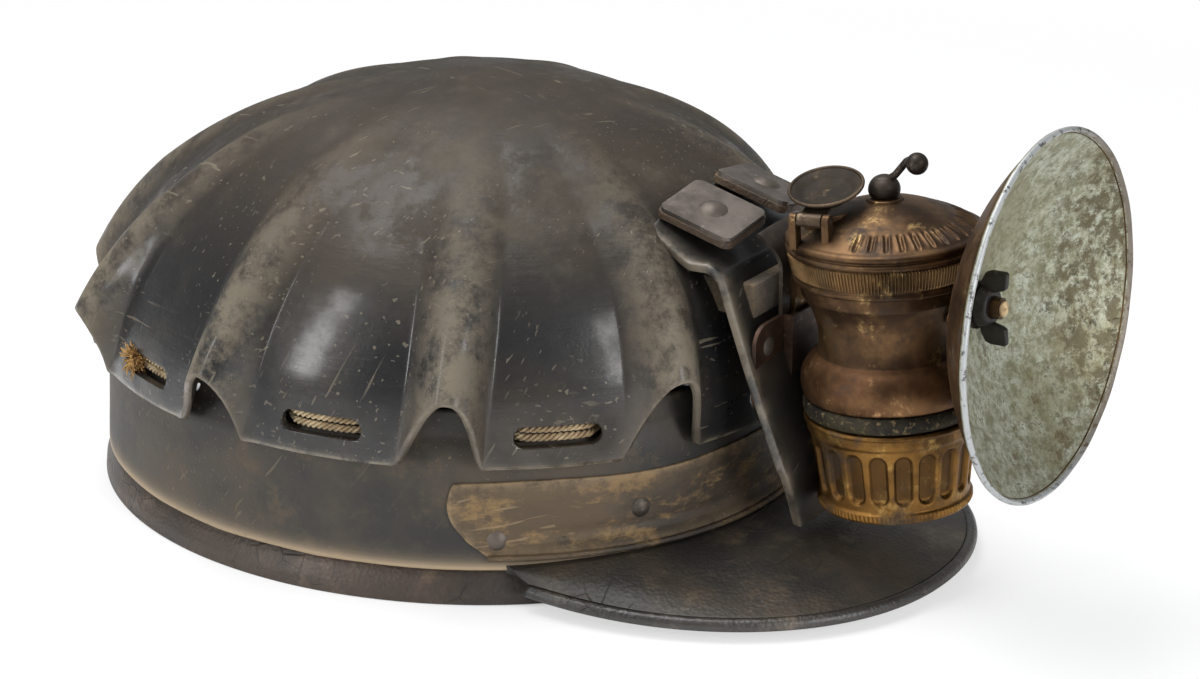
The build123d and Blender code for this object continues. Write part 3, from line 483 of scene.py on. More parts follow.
def cut_slots(piece, places, length, height, depth):
    """Cuts stadium-shaped slots through a piece at places on the oval."""
    vertices, faces = [], []
    for place, out in places:
        along = Vector((-out.y, out.x, 0.0))
        ring = []
        for step in range(slot_corners):
            angle = 2 * math.pi * (step + 0.5) / slot_corners
            side = (length - height) / 2 * (1 if math.cos(angle) > 0 else -1)
            ring.append((side + height / 2 * math.cos(angle), height / 2 * math.sin(angle)))
        start = len(vertices)
        for shift in (-depth, depth):
            vertices += [place + along * a + Vector((0, 0, b)) + out * shift for a, b in ring]
        faces += grid_faces(2, slot_corners, round_columns=True, start=start)
        middle = start + slot_corners
        faces += [tuple(range(middle - 1, start - 1, -1)), tuple(range(middle, middle + slot_corners))]
    cutter = mesh_piece("slot_cutter", vertices, faces, smooth=False)
    cut = piece.modifiers.new("slots", "BOOLEAN")
    cut.object = cutter
    cut.solver = "EXACT"
    bake_down(piece)
    bpy.data.objects.remove(cutter)


def level_place(angle, height, inset=0.0):
    """Point on the plain dome at a height, and its level outward direction."""
    turn = math.radians(angle)
    swell, centre, _ = swell_at(share_at(height))
    place = oval_place(turn, hem_half_length * swell - inset, hem_half_width * swell - inset, centre, height)
    out = Vector((-hem_half_length * math.sin(turn), -hem_half_width * math.cos(turn), 0.0)).normalized()
    return place, out


slot_centre = hem_height + slot_rise
thicken(crown, crown_wall, rim=1)
bake_down(crown)
slot_places = [level_place(angle, slot_centre) for angle in panel_angles]
cut_slots(crown, slot_places, slot_length, slot_height, slot_cut_depth)


def fibre_finish(name, dark, brown, pale, shine):
    """Dark fibre with brushed scratches, brown dust and pale wear on ribs and hem."""
    finish = Finish(name)
    cloud = finish.noise(14.0, 6.0, 0.62)
    speck = finish.noise(240.0, 5.0, 0.7)
    grain = finish.noise(60.0, 5.0, 0.6, (1.0, 1.0, 9.0))
    crest, hem, near_hem, flank = (finish.attribute(mark) for mark in ("crest", "hem", "near_hem", "flank"))
    height_share = finish.node("ShaderNodeSeparateXYZ", {}, {0: finish.place}, output=2).rise(0.072, 0.115)
    dust = (finish.noise(32.0, 6.0, 0.68).rise(0.50, 0.74) * (0.22 + 0.5 * height_share)).clamp()
    worn = (crest * 1.4 * finish.noise(75.0, 8.0, 0.76).rise(0.36, 0.60)).clamp()
    streaks = (finish.hairs(26.0, (0.0, 0.0, 0.4), 0.035) + finish.hairs(22.0, (0.5, 0.9, 2.1), 0.03)
               + finish.hairs(34.0, (1.1, 0.2, 1.2), 0.025)).clamp()
    scuff = (finish.noise(11.0, 3.0, 0.5).rise(0.64, 0.70) * finish.noise(110.0, 6.0, 0.75).rise(0.48, 0.6)).clamp()
    edge = (hem * 1.3 * finish.noise(120.0, 5.0, 0.7).rise(0.3, 0.6)).clamp()
    colour = finish.layers(
        dark, ((cloud.rise(0.42, 0.68) + 0.7 * height_share).clamp(), brown),
        (dust, tuple(0.55 * value for value in pale)), (worn, pale),
        (streaks * 0.5, tuple(1.3 * value for value in pale)), (scuff * 0.6, (0.30, 0.275, 0.235)),
        (edge, (0.19, 0.162, 0.122)), ((near_hem * flank * 0.8).clamp(), (0.075, 0.060, 0.045)),
    )
    rubbed = finish.noise(38.0, 8.0, 0.74).rise(0.40, 0.66)
    roughness = 0.20 + 0.22 * rubbed + 0.30 * worn + 0.25 * dust + 0.14 * speck + 0.24 * height_share
    height = speck * 0.5 + grain * 0.9 + rubbed * 0.35 + worn * 0.5 - streaks * 1.0
    coat = shine - 0.35 * rubbed - 0.5 * worn - 0.4 * dust - 0.45 * height_share
    return finish.finish(
        colour=colour, roughness=roughness.clamp(), coat=coat.clamp(), coat_roughness=0.14, specular=0.25,
        normal=finish.bump(height, 0.2),
    )


def cut_edge_finish(name, colour, dark):
    """Raw edge of fibre or leather, pale and fuzzy."""
    finish = Finish(name)
    fuzz = finish.noise(420.0, 5.0, 0.75)
    return finish.finish(
        colour=finish.mix(fuzz.rise(0.35, 0.65), dark, colour), roughness=0.75,
        normal=finish.bump(fuzz, 0.3),
    )


crown_finish = fibre_finish("crown_fibre", (0.011, 0.0108, 0.0112), (0.036, 0.027, 0.0185), (0.155, 0.131, 0.096), 0.55)
crown_edge = cut_edge_finish("crown_cut_edge", (0.165, 0.138, 0.100), (0.05, 0.040, 0.030))
crown.data.materials.clear()
settle(crown, [crown_finish, crown_edge], "helmet", "crown_shell")


# Cap band
# The upright wall inside the hem is a thinner sheet of the same fibre, sewn to the sweatband.
# Its lower edge is rubbed to a beige line, and the lacing passes through pairs of holes.
band_wall = 1.8
band_foot = 10.0
band_top = 57.0
band_hem_gap = 0.9
band_flare = 1.9
draw_in_rise = 6.5
cord_radius = 1.05
cord_clearance = 0.75
band_inset = crown_wall + 2 * (cord_radius + cord_clearance)
band_hole_place = 13.6
band_hole_length = 12.6
band_hole_height = 7.4
band_hole_depth = 4.0


def band_size(height):
    """Outer half length, half width and centre of the cap band at a height."""
    plain_length = hem_half_length - crown_wall - band_hem_gap
    plain_width = hem_half_width - crown_wall - band_hem_gap
    if height <= hem_height:
        flare = band_flare * (1 - (height - band_foot) / (hem_height - band_foot))
        return plain_length + flare, plain_width + flare, hem_centre
    swell, centre, _ = swell_at(share_at(height))
    drawn = min((height - hem_height) / draw_in_rise, 1.0)
    inset = (crown_wall + band_hem_gap) * (1 - drawn) + band_inset * drawn
    return hem_half_length * swell - inset, hem_half_width * swell - inset, centre


def band_points(heights, angles):
    """Grid of points round the band's outer face."""
    rows = []
    for height in heights:
        length, width, centre = band_size(height)
        rows.append(oval_row(angles, length, width, centre, height))
    return np.array(rows)


around = np.linspace(-math.pi, math.pi, 480, endpoint=False)
heights = np.concatenate([np.linspace(band_foot, hem_height, 26), np.linspace(hem_height + 1, band_top, 12)])
wall_points = band_points(heights, around)
sway = waves(wall_points[..., 0] * 0.03, wall_points[..., 1] * 0.03, 11)
low_share = np.clip((hem_height - wall_points[..., 2]) / 20.0, 0, 1)
wall_points[..., :2] *= (1 - 0.004 * np.abs(sway) * low_share)[..., None]
foot_wave = waves(np.cos(around) * 3, np.sin(around) * 3, 12) * 0.5
wall_points[0, :, 2] += np.abs(foot_wave)
band = mesh_piece(
    "cap_band_wall", wall_points.reshape(-1, 3), grid_faces(len(heights), len(around), round_columns=True),
    {"foot": np.exp(-(wall_points[..., 2] - band_foot) / 1.5)},
)
thicken(band, band_wall, rim=1)
bake_down(band)
hole_places = []
for angle in panel_angles:
    for side in (-1, 1):
        turn = angle + side * math.degrees(band_hole_place / float(oval_speed(math.radians(angle))))
        hole_places.append(level_place(turn, slot_centre, band_inset))
cut_slots(band, hole_places, band_hole_length, band_hole_height, band_hole_depth)


def band_finish():
    finish = Finish("band_fibre")
    cloud = finish.noise(18.0, 6.0, 0.65)
    fine = finish.noise(150.0, 6.0, 0.7)
    streaks = (finish.hairs(30.0, (0.0, 0.0, 0.2), 0.04) + finish.hairs(24.0, (0.3, 1.2, 0.9), 0.03)).clamp()
    patch = finish.noise(52.0, 8.0, 0.78).rise(0.52, 0.66)
    colour = finish.layers(
        (0.013, 0.0120, 0.0105), (cloud.rise(0.36, 0.70), (0.060, 0.045, 0.028)),
        (streaks * 0.5, (0.17, 0.13, 0.085)), (patch * 0.6, (0.085, 0.058, 0.030)),
        ((finish.attribute("foot") * 1.6).clamp(), (0.36, 0.27, 0.17)),
    )
    roughness = 0.42 + 0.25 * cloud + 0.1 * fine
    return finish.finish(
        colour=colour, roughness=roughness.clamp(), normal=finish.bump(fine * 0.5 + cloud * 0.6 - streaks, 0.25)
    )


band.data.materials.clear()
band_edge = cut_edge_finish("band_cut_edge", (0.36, 0.27, 0.17), (0.14, 0.10, 0.06))
settle(band, [band_finish(), band_edge], "helmet", "cap_band")


# Sweatband
# A strip of dark leather lines the band and turns out below it as the foot that meets the
# table. It is creased by wear and carries a few rust stains.
sweat_wall = 2.0
sweat_levels = ((0.0, 112.5, 99.3), (3.2, 112.1, 98.9), (6.5, 110.6, 97.4), (9.4, 109.15, 95.15), (16.0, 108.9, 94.9),
                (36.0, 107.9, 93.9))


def sweat_points():
    rows = []
    fine_heights = np.concatenate([np.linspace(0, 9.4, 16), np.linspace(10, 36, 12)])
    level, length, width = np.array(sweat_levels).T
    for height in fine_heights:
        half_length, half_width = np.interp(height, level, length), np.interp(height, level, width)
        crease = 0.25 * waves(around * 4.0, np.full_like(around, height * 0.3), 21) * math.sin(math.pi * height / 36)
        rows.append(oval_row(around, half_length + crease, half_width + crease, hem_centre, height))
    return np.array(rows)


def leather_finish(name, dark, light, worn, grain_scale, shine=0.0, stains=0.0, rough=0.55):
    """Old leather: mottled, grained, cracked, worn pale where it is rubbed."""
    finish = Finish(name)
    cloud = finish.noise(22.0, 6.0, 0.66)
    fine = finish.noise(170.0, 6.0, 0.72)
    pebble = finish.cells(grain_scale)
    crack = finish.cells(grain_scale * 0.16, "DISTANCE_TO_EDGE")
    rubbed = (finish.noise(48.0, 7.0, 0.74).rise(0.50, 0.68) * fine.rise(0.38, 0.62)).clamp()
    cracked = (1.0 - crack.rise(0.0, 0.035)) * finish.noise(30.0, 3.0, 0.6).rise(0.5, 0.62)
    colour = finish.layers(
        dark, (cloud.rise(0.34, 0.68), light), (rubbed * 0.8, worn),
        (cracked * 0.7, tuple(0.35 * value for value in dark)),
    )
    if stains:
        rust = finish.noise(75.0, 5.0, 0.7).rise(0.64, 0.70)
        colour = finish.mix(rust * stains, colour, (0.17, 0.065, 0.025))
    roughness = rough + 0.18 * cloud - 0.12 * rubbed
    height = pebble * 0.5 + fine * 0.6 - cracked * 0.8
    return finish.finish(
        colour=colour, roughness=roughness.clamp(), coat=shine, coat_roughness=0.35,
        normal=finish.bump(height, 0.35),
    )


sweat = sweat_points()
sweatband = mesh_piece(
    "sweatband_leather", sweat.reshape(-1, 3), grid_faces(len(sweat), len(around), round_columns=True)
)
thicken(sweatband, sweat_wall)
soften(sweatband, 0.5)
sweat_leather = leather_finish(
    "sweatband_leather", (0.020, 0.014, 0.010), (0.055, 0.035, 0.022), (0.11, 0.075, 0.05), 900.0, 0.15, 0.8, 0.42
)
settle(sweatband, sweat_leather, "helmet", "sweatband")


# Cradle
# Eight leather tongues rise from the band inside the crown and are gathered at the top by a
# drawstring, so that the shell stands clear of the head.
cradle_gap = 0.5
cradle_wall = 1.5
cradle_drop = 16.0
cradle_leg_width = 19.0
cradle_top_share = 0.21
cradle_foot_share = 0.967
cradle_angles = (42.0, 77.25, 113.25, 147.0)


def cradle_leg(angle, first):
    """Points and faces of one tongue, from the band to the ring at the top."""
    turn = math.radians(angle)
    inset = band_inset + band_wall + cradle_gap
    rows, columns = 40, 9
    points = []
    for row in range(rows):
        share = cradle_top_share + (cradle_foot_share - cradle_top_share) * row / (rows - 1)
        swell, centre, level = swell_at(share)
        length, width = hem_half_length * swell - inset, hem_half_width * swell - inset
        height = hem_height + (dome_rise - cradle_drop) * level
        speed = math.hypot(width * math.cos(turn), length * math.sin(turn))
        half = cradle_leg_width / 2 * min(1.0, 0.45 + 1.6 * (share - cradle_top_share))
        for column in range(columns):
            across = 2 * column / (columns - 1) - 1
            place = turn + across * half / speed
            edge = across ** 4
            points.append(oval_place(place, length - edge * 0.4, width - edge * 0.4, centre, height))
    return points, grid_faces(rows, columns, start=first)


points, faces = [], []
for angle in cradle_angles:
    for side in (-1, 1):
        leg_points, leg_faces = cradle_leg(side * angle, len(points))
        points += leg_points
        faces += leg_faces
cradle = mesh_piece("cradle_tongues", points, faces)
thicken(cradle, cradle_wall, offset=1.0)
soften(cradle, 0.35)
cradle_leather = leather_finish("cradle_leather", (0.14, 0.085, 0.045), (0.26, 0.17, 0.095), (0.36, 0.26, 0.16), 800.0)
settle(cradle, cradle_leather, "helmet", "cradle")


# Lacing
# One doubled, waxed, three-ply cord runs out through each slot of the crown and in again
# behind the ribs, and its ends are knotted in a slot on the wearer's right.
cord_spacing = 2.6
stitch_half = 9.0
slot_turn_half = 12.0
dive_half = 18.5
knot_length = 5.0
knot_panel = 113.25
outer_inset = 0.7
slot_end_inset = crown_wall + cord_clearance + cord_radius
inner_inset = band_inset + band_wall + cord_clearance + cord_radius
ply_pitch = 5.2
ply_radius = 0.56
ply_offset = 0.62


def lacing_route(height):
    """The cord's running stitch, from one side of the knot round to the other."""
    places = []
    for angle in panel_angles:
        if angle == knot_panel:
            knot_place = len(places) + 3
        for offset, inset in ((-dive_half, inner_inset), (-slot_turn_half, slot_end_inset),
                              (-stitch_half, outer_inset), (stitch_half, outer_inset),
                              (slot_turn_half, slot_end_inset), (dive_half, inner_inset)):
            turn = math.degrees(offset / float(oval_speed(math.radians(angle))))
            places.append((angle + turn, inset))
        following = min(rib for rib in all_ribs + [all_ribs[0] + 360.0] if rib > angle)
        places.append((following, inner_inset))
    speed = float(oval_speed(math.radians(knot_panel)))
    middle = knot_panel + math.degrees(stitch_half / speed)
    reach = math.degrees(knot_length / 2 / speed)
    route = [(middle + reach, outer_inset + 1.5), *places[knot_place + 1:], *places[:knot_place],
             (middle - reach, outer_inset + 0.5)]
    swell, centre, _ = swell_at(share_at(slot_centre))
    length, width = hem_half_length * swell, hem_half_width * swell
    return [oval_place(math.radians(angle), length - inset, width - inset, centre, height) for angle, inset in route]


def smooth_line(points):
    """Even points along the smooth curve that a list of points controls."""
    curve = bpy.data.curves.new("line", "CURVE")
    curve.dimensions = "3D"
    spline = curve.splines.new("NURBS")
    spline.points.add(len(points) - 1)
    for control, place in zip(spline.points, points):
        control.co = (*place, 1.0)
    spline.order_u = 3
    spline.use_endpoint_u = True
    spline.resolution_u = 8
    holder = bpy.data.objects.new("line", curve)
    mesh = bpy.data.meshes.new_from_object(holder)
    line = np.array([vertex.co[:] for vertex in mesh.vertices])
    bpy.data.objects.remove(holder)
    bpy.data.curves.remove(curve)
    bpy.data.meshes.remove(mesh)
    return line


def even_line(line, step):
    """Points a fixed step apart along a line, with directions square to it."""
    gaps = np.linalg.norm(np.diff(line, axis=0), axis=1)
    walked = np.concatenate([[0], np.cumsum(gaps)])
    stations = np.linspace(0, walked[-1], max(int(walked[-1] / step), 3))
    line = np.stack([np.interp(stations, walked, line[:, axis]) for axis in range(3)], -1)
    along = np.gradient(line, axis=0)
    along /= np.linalg.norm(along, axis=1, keepdims=True)
    up = np.array([0.0, 0.0, 1.0])
    side = np.cross(along, up)
    weak = np.linalg.norm(side, axis=1) < 0.1
    side[weak] = np.cross(along[weak], np.array([1.0, 0.0, 0.0]))
    side /= np.linalg.norm(side, axis=1, keepdims=True)
    return line, stations, side, np.cross(side, along)


def tube_mesh(line, side, up, radius, sides, start=0):
    """Round tube with flat ends along a line."""
    angles = np.linspace(0, 2 * math.pi, sides, endpoint=False)
    ring = side[:, None] * np.cos(angles)[None, :, None] + up[:, None] * np.sin(angles)[None, :, None]
    points = (line[:, None] + ring * radius).reshape(-1, 3)
    faces = grid_faces(len(line), sides, round_columns=True, start=start)
    last = start + (len(line) - 1) * sides
    faces += [tuple(range(start + sides - 1, start - 1, -1)), tuple(range(last, last + sides))]
    return points, faces


def tube_piece(name, line, radius, step=1.0, sides=12):
    line, _, side, up = even_line(np.asarray(line, float), step)
    points, faces = tube_mesh(line, side, up, radius, sides)
    return mesh_piece(name, points, faces)


points, faces = np.zeros((0, 3)), []
for layer in (-1, 1):
    line, stations, side, up = even_line(smooth_line(lacing_route(slot_centre + layer * cord_spacing / 2)), 0.5)
    for ply in range(3):
        phase = 2 * math.pi * stations / ply_pitch + 2 * math.pi * ply / 3
        twisted = line + ply_offset * (side * np.cos(phase)[:, None] + up * np.sin(phase)[:, None])
        ply_points, ply_faces = tube_mesh(twisted, side, up, ply_radius, 6, len(points))
        points = np.concatenate([points, ply_points])
        faces += ply_faces
lacing = mesh_piece("lacing_cords", points, faces)


def cord_finish():
    finish = Finish("lacing_cord")
    cloud = finish.noise(120.0, 4.0, 0.6)
    fibre = finish.noise(900.0, 4.0, 0.7, (1.0, 1.0, 3.0))
    colour = finish.layers(
        (0.30, 0.205, 0.105), (cloud.rise(0.35, 0.65), (0.60, 0.47, 0.28)),
        (fibre.rise(0.5, 0.7) * 0.5, (0.14, 0.09, 0.045)),
    )
    return finish.finish(colour=colour, roughness=0.62, sheen=0.15, normal=finish.bump(fibre, 0.25))


lacing_finish = cord_finish()
settle(lacing, lacing_finish, "helmet", "lacing_cord")

fray_count = 300
fray_radius = 0.17
fray_lengths = (2.4, 6.4)
fray_reach = 3.2
knot_half_length = 2.9
knot_half_height = 2.6
knot_half_depth = 1.5
draw = random.Random(7)
knot_turn = knot_panel + math.degrees(stitch_half / float(oval_speed(math.radians(knot_panel))))
knot_centre, knot_out = level_place(knot_turn, slot_centre, -0.6)
knot_along = Vector((-knot_out.y, knot_out.x, 0.0))
points, faces = np.zeros((0, 3)), []
for _ in range(fray_count):
    turn, lift = draw.uniform(0, 2 * math.pi), draw.uniform(-0.4, 1.0)
    way = (knot_along * math.cos(turn) * 1.1 + Vector((0, 0, math.sin(turn))) + knot_out * lift).normalized()
    size = draw.uniform(*fray_lengths)
    bend = Vector((draw.uniform(-1, 1), draw.uniform(-1, 1), draw.uniform(-1.4, 0.6))) * 1.2
    hair = [knot_centre + way * size * t + bend * t * t for t in (0.0, 0.25, 0.5, 0.75, 1.0)]
    hair = [p - knot_out * max((p - knot_centre).dot(knot_out) - fray_reach, 0) for p in hair]
    line, _, side, up = even_line(np.array(hair), 0.9)
    hair_points, hair_faces = tube_mesh(line, side, up, fray_radius, 4, len(points))
    points = np.concatenate([points, hair_points])
    faces += hair_faces
knot = mesh_piece("lacing_knot_fray", points, faces)
core = bmesh.new()
bmesh.ops.create_icosphere(core, subdivisions=4, radius=1.0)
for vertex in core.verts:
    lump = 1 + 0.12 * math.sin(5 * vertex.co.x + 3) * math.sin(6 * vertex.co.z) + 0.08 * math.sin(9 * vertex.co.y)
    reach = knot_along * vertex.co.x * knot_half_length + knot_out * vertex.co.y * knot_half_depth
    reach.z += vertex.co.z * knot_half_height
    vertex.co = (knot_centre + reach * lump) * MM
core_mesh = bpy.data.meshes.new("lacing_knot_core")
core.to_mesh(core_mesh)
core.free()
core_mesh.polygons.foreach_set("use_smooth", [True] * len(core_mesh.polygons))
knot_core = bpy.data.objects.new("lacing_knot_core", core_mesh)
scene.collection.objects.link(knot_core)
tuft = Finish("frayed_tuft")
tuft_cloud = tuft.noise(500.0, 4.0, 0.7)
tuft_finish = tuft.finish(
    colour=tuft.mix(tuft_cloud.rise(0.35, 0.65), (0.20, 0.10, 0.028), (0.50, 0.30, 0.10)), roughness=0.85,
    normal=tuft.bump(tuft_cloud, 0.5),
)
for piece in (knot, knot_core):
    settle(piece, tuft_finish, "helmet")
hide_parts("lacing_knot")

drawstring_radius = 1.15
drawstring_low, drawstring_high = (np.array(corner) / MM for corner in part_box("cradle_drawstring"))
ring_centre = (drawstring_low + drawstring_high) / 2
ring_radius = (drawstring_high[0] - drawstring_low[0]) / 2 - 1.2
ring_turn = np.linspace(0, 2 * math.pi, 97)
ring_line = ring_centre + ring_radius * np.stack([np.cos(ring_turn), np.sin(ring_turn), 0 * ring_turn], -1)
drawstring = tube_piece("cradle_drawstring_cord", ring_line, drawstring_radius)
settle(drawstring, lacing_finish, "helmet", "cradle_drawstring")


# Visor
# A stiff leather peak sewn under the strip at its root, bent down towards its free edge,
# where a rolled black binding is worn shiny. Coal dust lies in its grain.
visor_thickness = 2.5
visor_half_width = 76.0
visor_corner = 66.0
visor_reach = 167.0
visor_roundness = 0.93
visor_root_height = 12.0
visor_root_fall = 1.5
visor_edge_height = 5.0
visor_edge_lift = 3.0
visor_drop = 1.4
visor_root_angle = 50.0
visor_edge_angle = 84.0
visor_gap = 0.3
visor_dent = 0.8
binding_radius = 1.9
binding_steps = 96


def visor_point(across, along):
    """Point on the visor's middle surface, as in the solid."""
    length, width, _ = band_size(visor_root_height)
    turn = math.radians(across * visor_root_angle)
    root = oval_place(
        turn, length + visor_gap, width + visor_gap, hem_centre, visor_root_height - visor_root_fall * across ** 2
    )
    turn = math.radians(across * visor_edge_angle)
    edge = Vector((
        -math.copysign(visor_half_width * abs(math.sin(turn)) ** visor_roundness, turn),
        -visor_corner - (visor_reach - visor_corner) * math.cos(turn) ** visor_roundness,
        visor_edge_height + visor_edge_lift * across ** 6,
    ))
    point = root + (edge - root) * along
    point.z = root.z + (edge.z - root.z) * along ** visor_drop
    return point


rows, columns = 129, 41
points = []
for row in range(rows):
    across = -1 + 2 * row / (rows - 1)
    for column in range(columns):
        along = column / (columns - 1)
        point = visor_point(across, along)
        bay = math.sin(along * math.pi)
        dent = 0.5 * math.sin(across * 7 + along * 3) * bay + 0.3 * math.sin(across * 17 + 2)
        point.z += dent * bay * visor_dent
        points.append(point)
visor = mesh_piece("visor_leather", points, grid_faces(rows, columns))
thicken(visor, visor_thickness, offset=0.0)
soften(visor, 0.7, 3)
visor_leather = leather_finish(
    "visor_leather", (0.013, 0.011, 0.0095), (0.048, 0.035, 0.021), (0.11, 0.083, 0.050), 700.0, 0.15, 0.2, 0.46
)
settle(visor, visor_leather, "helmet", "visor")

edge_line = []
for step in range(binding_steps + 1):
    across = -1 + 2 * step / binding_steps
    here = visor_point(across, 1.0)
    ahead = visor_point(min(across + 0.01, 1.0), 1.0) - visor_point(max(across - 0.01, -1.0), 1.0)
    ahead.normalize()
    out = here - visor_point(across, 0.9)
    out = (out - ahead * out.dot(ahead)).normalized()
    edge_line.append(here + out * (binding_radius + visor_gap - 0.5))
binding = tube_piece("visor_binding_roll", edge_line, binding_radius, 1.2, 16)
binding_leather = leather_finish(
    "binding_leather", (0.012, 0.010, 0.009), (0.035, 0.028, 0.022), (0.13, 0.10, 0.07), 900.0, 0.3, 0.0, 0.35
)
settle(binding, binding_leather, "helmet", "visor_binding")


# Visor strip
# A tan leather strip covers the visor's root. It is riveted at its ends, sewn along a raised
# welt at its foot, and its surface has worn through to raw brown.
strip_gap = 0.3
strip_thickness = 2.2
strip_foot = 13.8
strip_top = 37.0
strip_angle = 57.0
welt_angle = 52.0
welt_radius = 0.9
welt_steps = 120


def strip_point(angle, height, offset):
    """Point on the band's outside, moved out by an offset."""
    length, width, centre = band_size(height)
    return oval_place(math.radians(angle), length + offset, width + offset, centre, height)


rows, columns = 200, 22
points, end_mark = [], []
for row in range(rows):
    across = -1 + 2 * row / (rows - 1)
    for column in range(columns):
        up = column / (columns - 1)
        end = strip_angle + 1.8 * math.sin(up * math.pi) - 5.5 * (1 - up) ** 2
        angle = across * end
        sag = 0.5 * math.sin(across * 9 + 1) * up ** 2
        offset = strip_gap + strip_thickness + 0.35 * math.sin(up * math.pi) * (1 + math.sin(across * 23) * 0.4)
        offset += 0.35 * math.exp(-((up - 0.22) / 0.05) ** 2) - 0.3 * math.exp(-((up - 0.32) / 0.05) ** 2)
        points.append(strip_point(angle, strip_foot + (strip_top - strip_foot) * up + sag - 0.5 * up, offset))
        end_mark.append(max(math.exp(-up * 14), math.exp(-(1 - up) * 14), math.exp(-(1 - abs(across)) * 60)))
strip = mesh_piece("visor_strip_leather", points, grid_faces(rows, columns), {"edge": end_mark})
thicken(strip, strip_thickness)
soften(strip, 0.5)


def strip_finish():
    """Brown leather whose surface has flaked to raw tan."""
    finish = Finish("strip_leather")
    cloud = finish.noise(20.0, 6.0, 0.66, (1.0, 1.0, 2.2))
    flake = finish.noise(52.0, 8.0, 0.76, (1.0, 1.0, 2.4))
    fine = finish.noise(260.0, 6.0, 0.72)
    raw = (flake.rise(0.47, 0.60) * fine.rise(0.3, 0.55)).clamp()
    black = finish.noise(34.0, 7.0, 0.72).rise(0.57, 0.66)
    edge = (finish.attribute("edge") * 0.8).clamp() * fine.rise(0.3, 0.6)
    streaks = finish.hairs(30.0, (0.0, 0.3, 0.9), 0.04)
    colour = finish.layers(
        (0.022, 0.0155, 0.010), (cloud.rise(0.36, 0.66), (0.080, 0.052, 0.026)),
        (raw * 0.72, (0.255, 0.158, 0.062)), (black * 0.85, (0.03, 0.022, 0.016)),
        (edge, (0.27, 0.185, 0.10)), (streaks * 0.4, (0.30, 0.21, 0.12)),
    )
    roughness = 0.5 + 0.2 * fine + 0.1 * raw
    height = flake * 0.8 + fine * 0.4 - black * 0.5 - streaks * 0.5
    return finish.finish(colour=colour, roughness=roughness.clamp(), normal=finish.bump(height, 0.4))


strip_leather = strip_finish()
settle(strip, strip_leather, "helmet", "visor_strip")

welt_line = [strip_point(welt_angle * (2 * step / welt_steps - 1), strip_foot + 0.5, strip_gap + strip_thickness + 0.6)
             for step in range(welt_steps + 1)]
welt = tube_piece("strip_welt", welt_line, welt_radius, 0.9, 8)
settle(welt, strip_leather, "helmet")


# Lamp strap
# A broad strap of black pressed fibre lies over the crown's front, bends down behind the
# lamp and ends in a pointed tongue on the visor. Its cut edges have worn pale.
strap_half_width = 28.0
strap_thickness = 2.8
strap_rear = 86.0
strap_rear_height = 105.4
strap_face = 118.4
strap_bend_height = 97.4
strap_bend_radius = 9.0
strap_curl_height = 34.0
strap_curl_radius = 14.0
strap_toe = 128.5
strap_toe_height = 15.6
strap_side_fall = 4.6
strap_shoulder_depth = 4.0
strap_tongue_half_width = 4.0
strap_taper_height = 38.0


def rounded_line(corners, radii):
    """Straight runs in the YZ plane joined by tangent arcs."""
    fineness = 10
    corners = [Vector((0, y, z)) for y, z in corners]
    line = [corners[0]]
    for before, here, after, radius in zip(corners, corners[1:], corners[2:], radii):
        into, out = (before - here).normalized(), (after - here).normalized()
        half = into.angle(out) / 2
        centre = here + (into + out).normalized() * radius / math.sin(half)
        start, end = here + into * radius / math.tan(half), here + out * radius / math.tan(half)
        for step in range(fineness + 1):
            line.append(centre + (start - centre).slerp(end - centre, step / fineness))
    return np.array([point[:] for point in line + [corners[-1]]])


strap_line = rounded_line(
    [(-strap_rear, strap_rear_height), (-strap_face, strap_bend_height), (-strap_face, strap_curl_height),
     (-strap_toe, strap_toe_height)], [strap_bend_radius, strap_curl_radius],
)
line, stations, side, up = even_line(strap_line, 1.6)
columns = 29
points, edge_mark = [], []
for place in line:
    flat = min(max((place[2] - strap_bend_height + strap_shoulder_depth) / strap_shoulder_depth, 0), 1)
    taper = 1.0
    if place[2] < strap_taper_height:
        share = (strap_taper_height - place[2]) / strap_taper_height
        taper = 1 - share * (1 - strap_tongue_half_width / strap_half_width)
    for column in range(columns):
        across = -1 + 2 * column / (columns - 1)
        fall = strap_side_fall * across ** 2 * flat
        bow = 0.7 * math.sin(math.pi * min(max((place[2] - 30) / 60, 0), 1)) * across ** 2
        points.append((across * strap_half_width * taper, place[1] + bow, place[2] - fall))
        edge_mark.append(abs(across) ** 14)
strap = mesh_piece("lamp_strap_fibre", points, grid_faces(len(line), columns), {"edge": edge_mark})
thicken(strap, strap_thickness, offset=0.0)
soften(strap, 0.55, 3)


def strap_finish():
    """Polished black fibre with pale rubbed edges and brown dust."""
    finish = Finish("strap_fibre")
    cloud = finish.noise(25.0, 5.0, 0.6)
    fine = finish.noise(200.0, 5.0, 0.7)
    edge = (finish.attribute("edge") * finish.noise(90.0, 5.0, 0.7).rise(0.3, 0.6)).clamp()
    streaks = finish.hairs(28.0, (0.9, 0.3, 0.4), 0.03)
    colour = finish.layers(
        (0.013, 0.012, 0.011), (cloud.rise(0.45, 0.72), (0.045, 0.033, 0.022)),
        (edge * 0.85, (0.20, 0.165, 0.12)), (streaks * 0.4, (0.25, 0.2, 0.15)),
    )
    roughness = 0.24 + 0.25 * cloud + 0.2 * edge + 0.1 * fine
    return finish.finish(
        colour=colour, roughness=roughness.clamp(), coat=0.4, coat_roughness=0.2,
        normal=finish.bump(fine * 0.4 + cloud * 0.6 - streaks, 0.25),
    )


settle(strap, strap_finish(), "helmet", "lamp_strap")


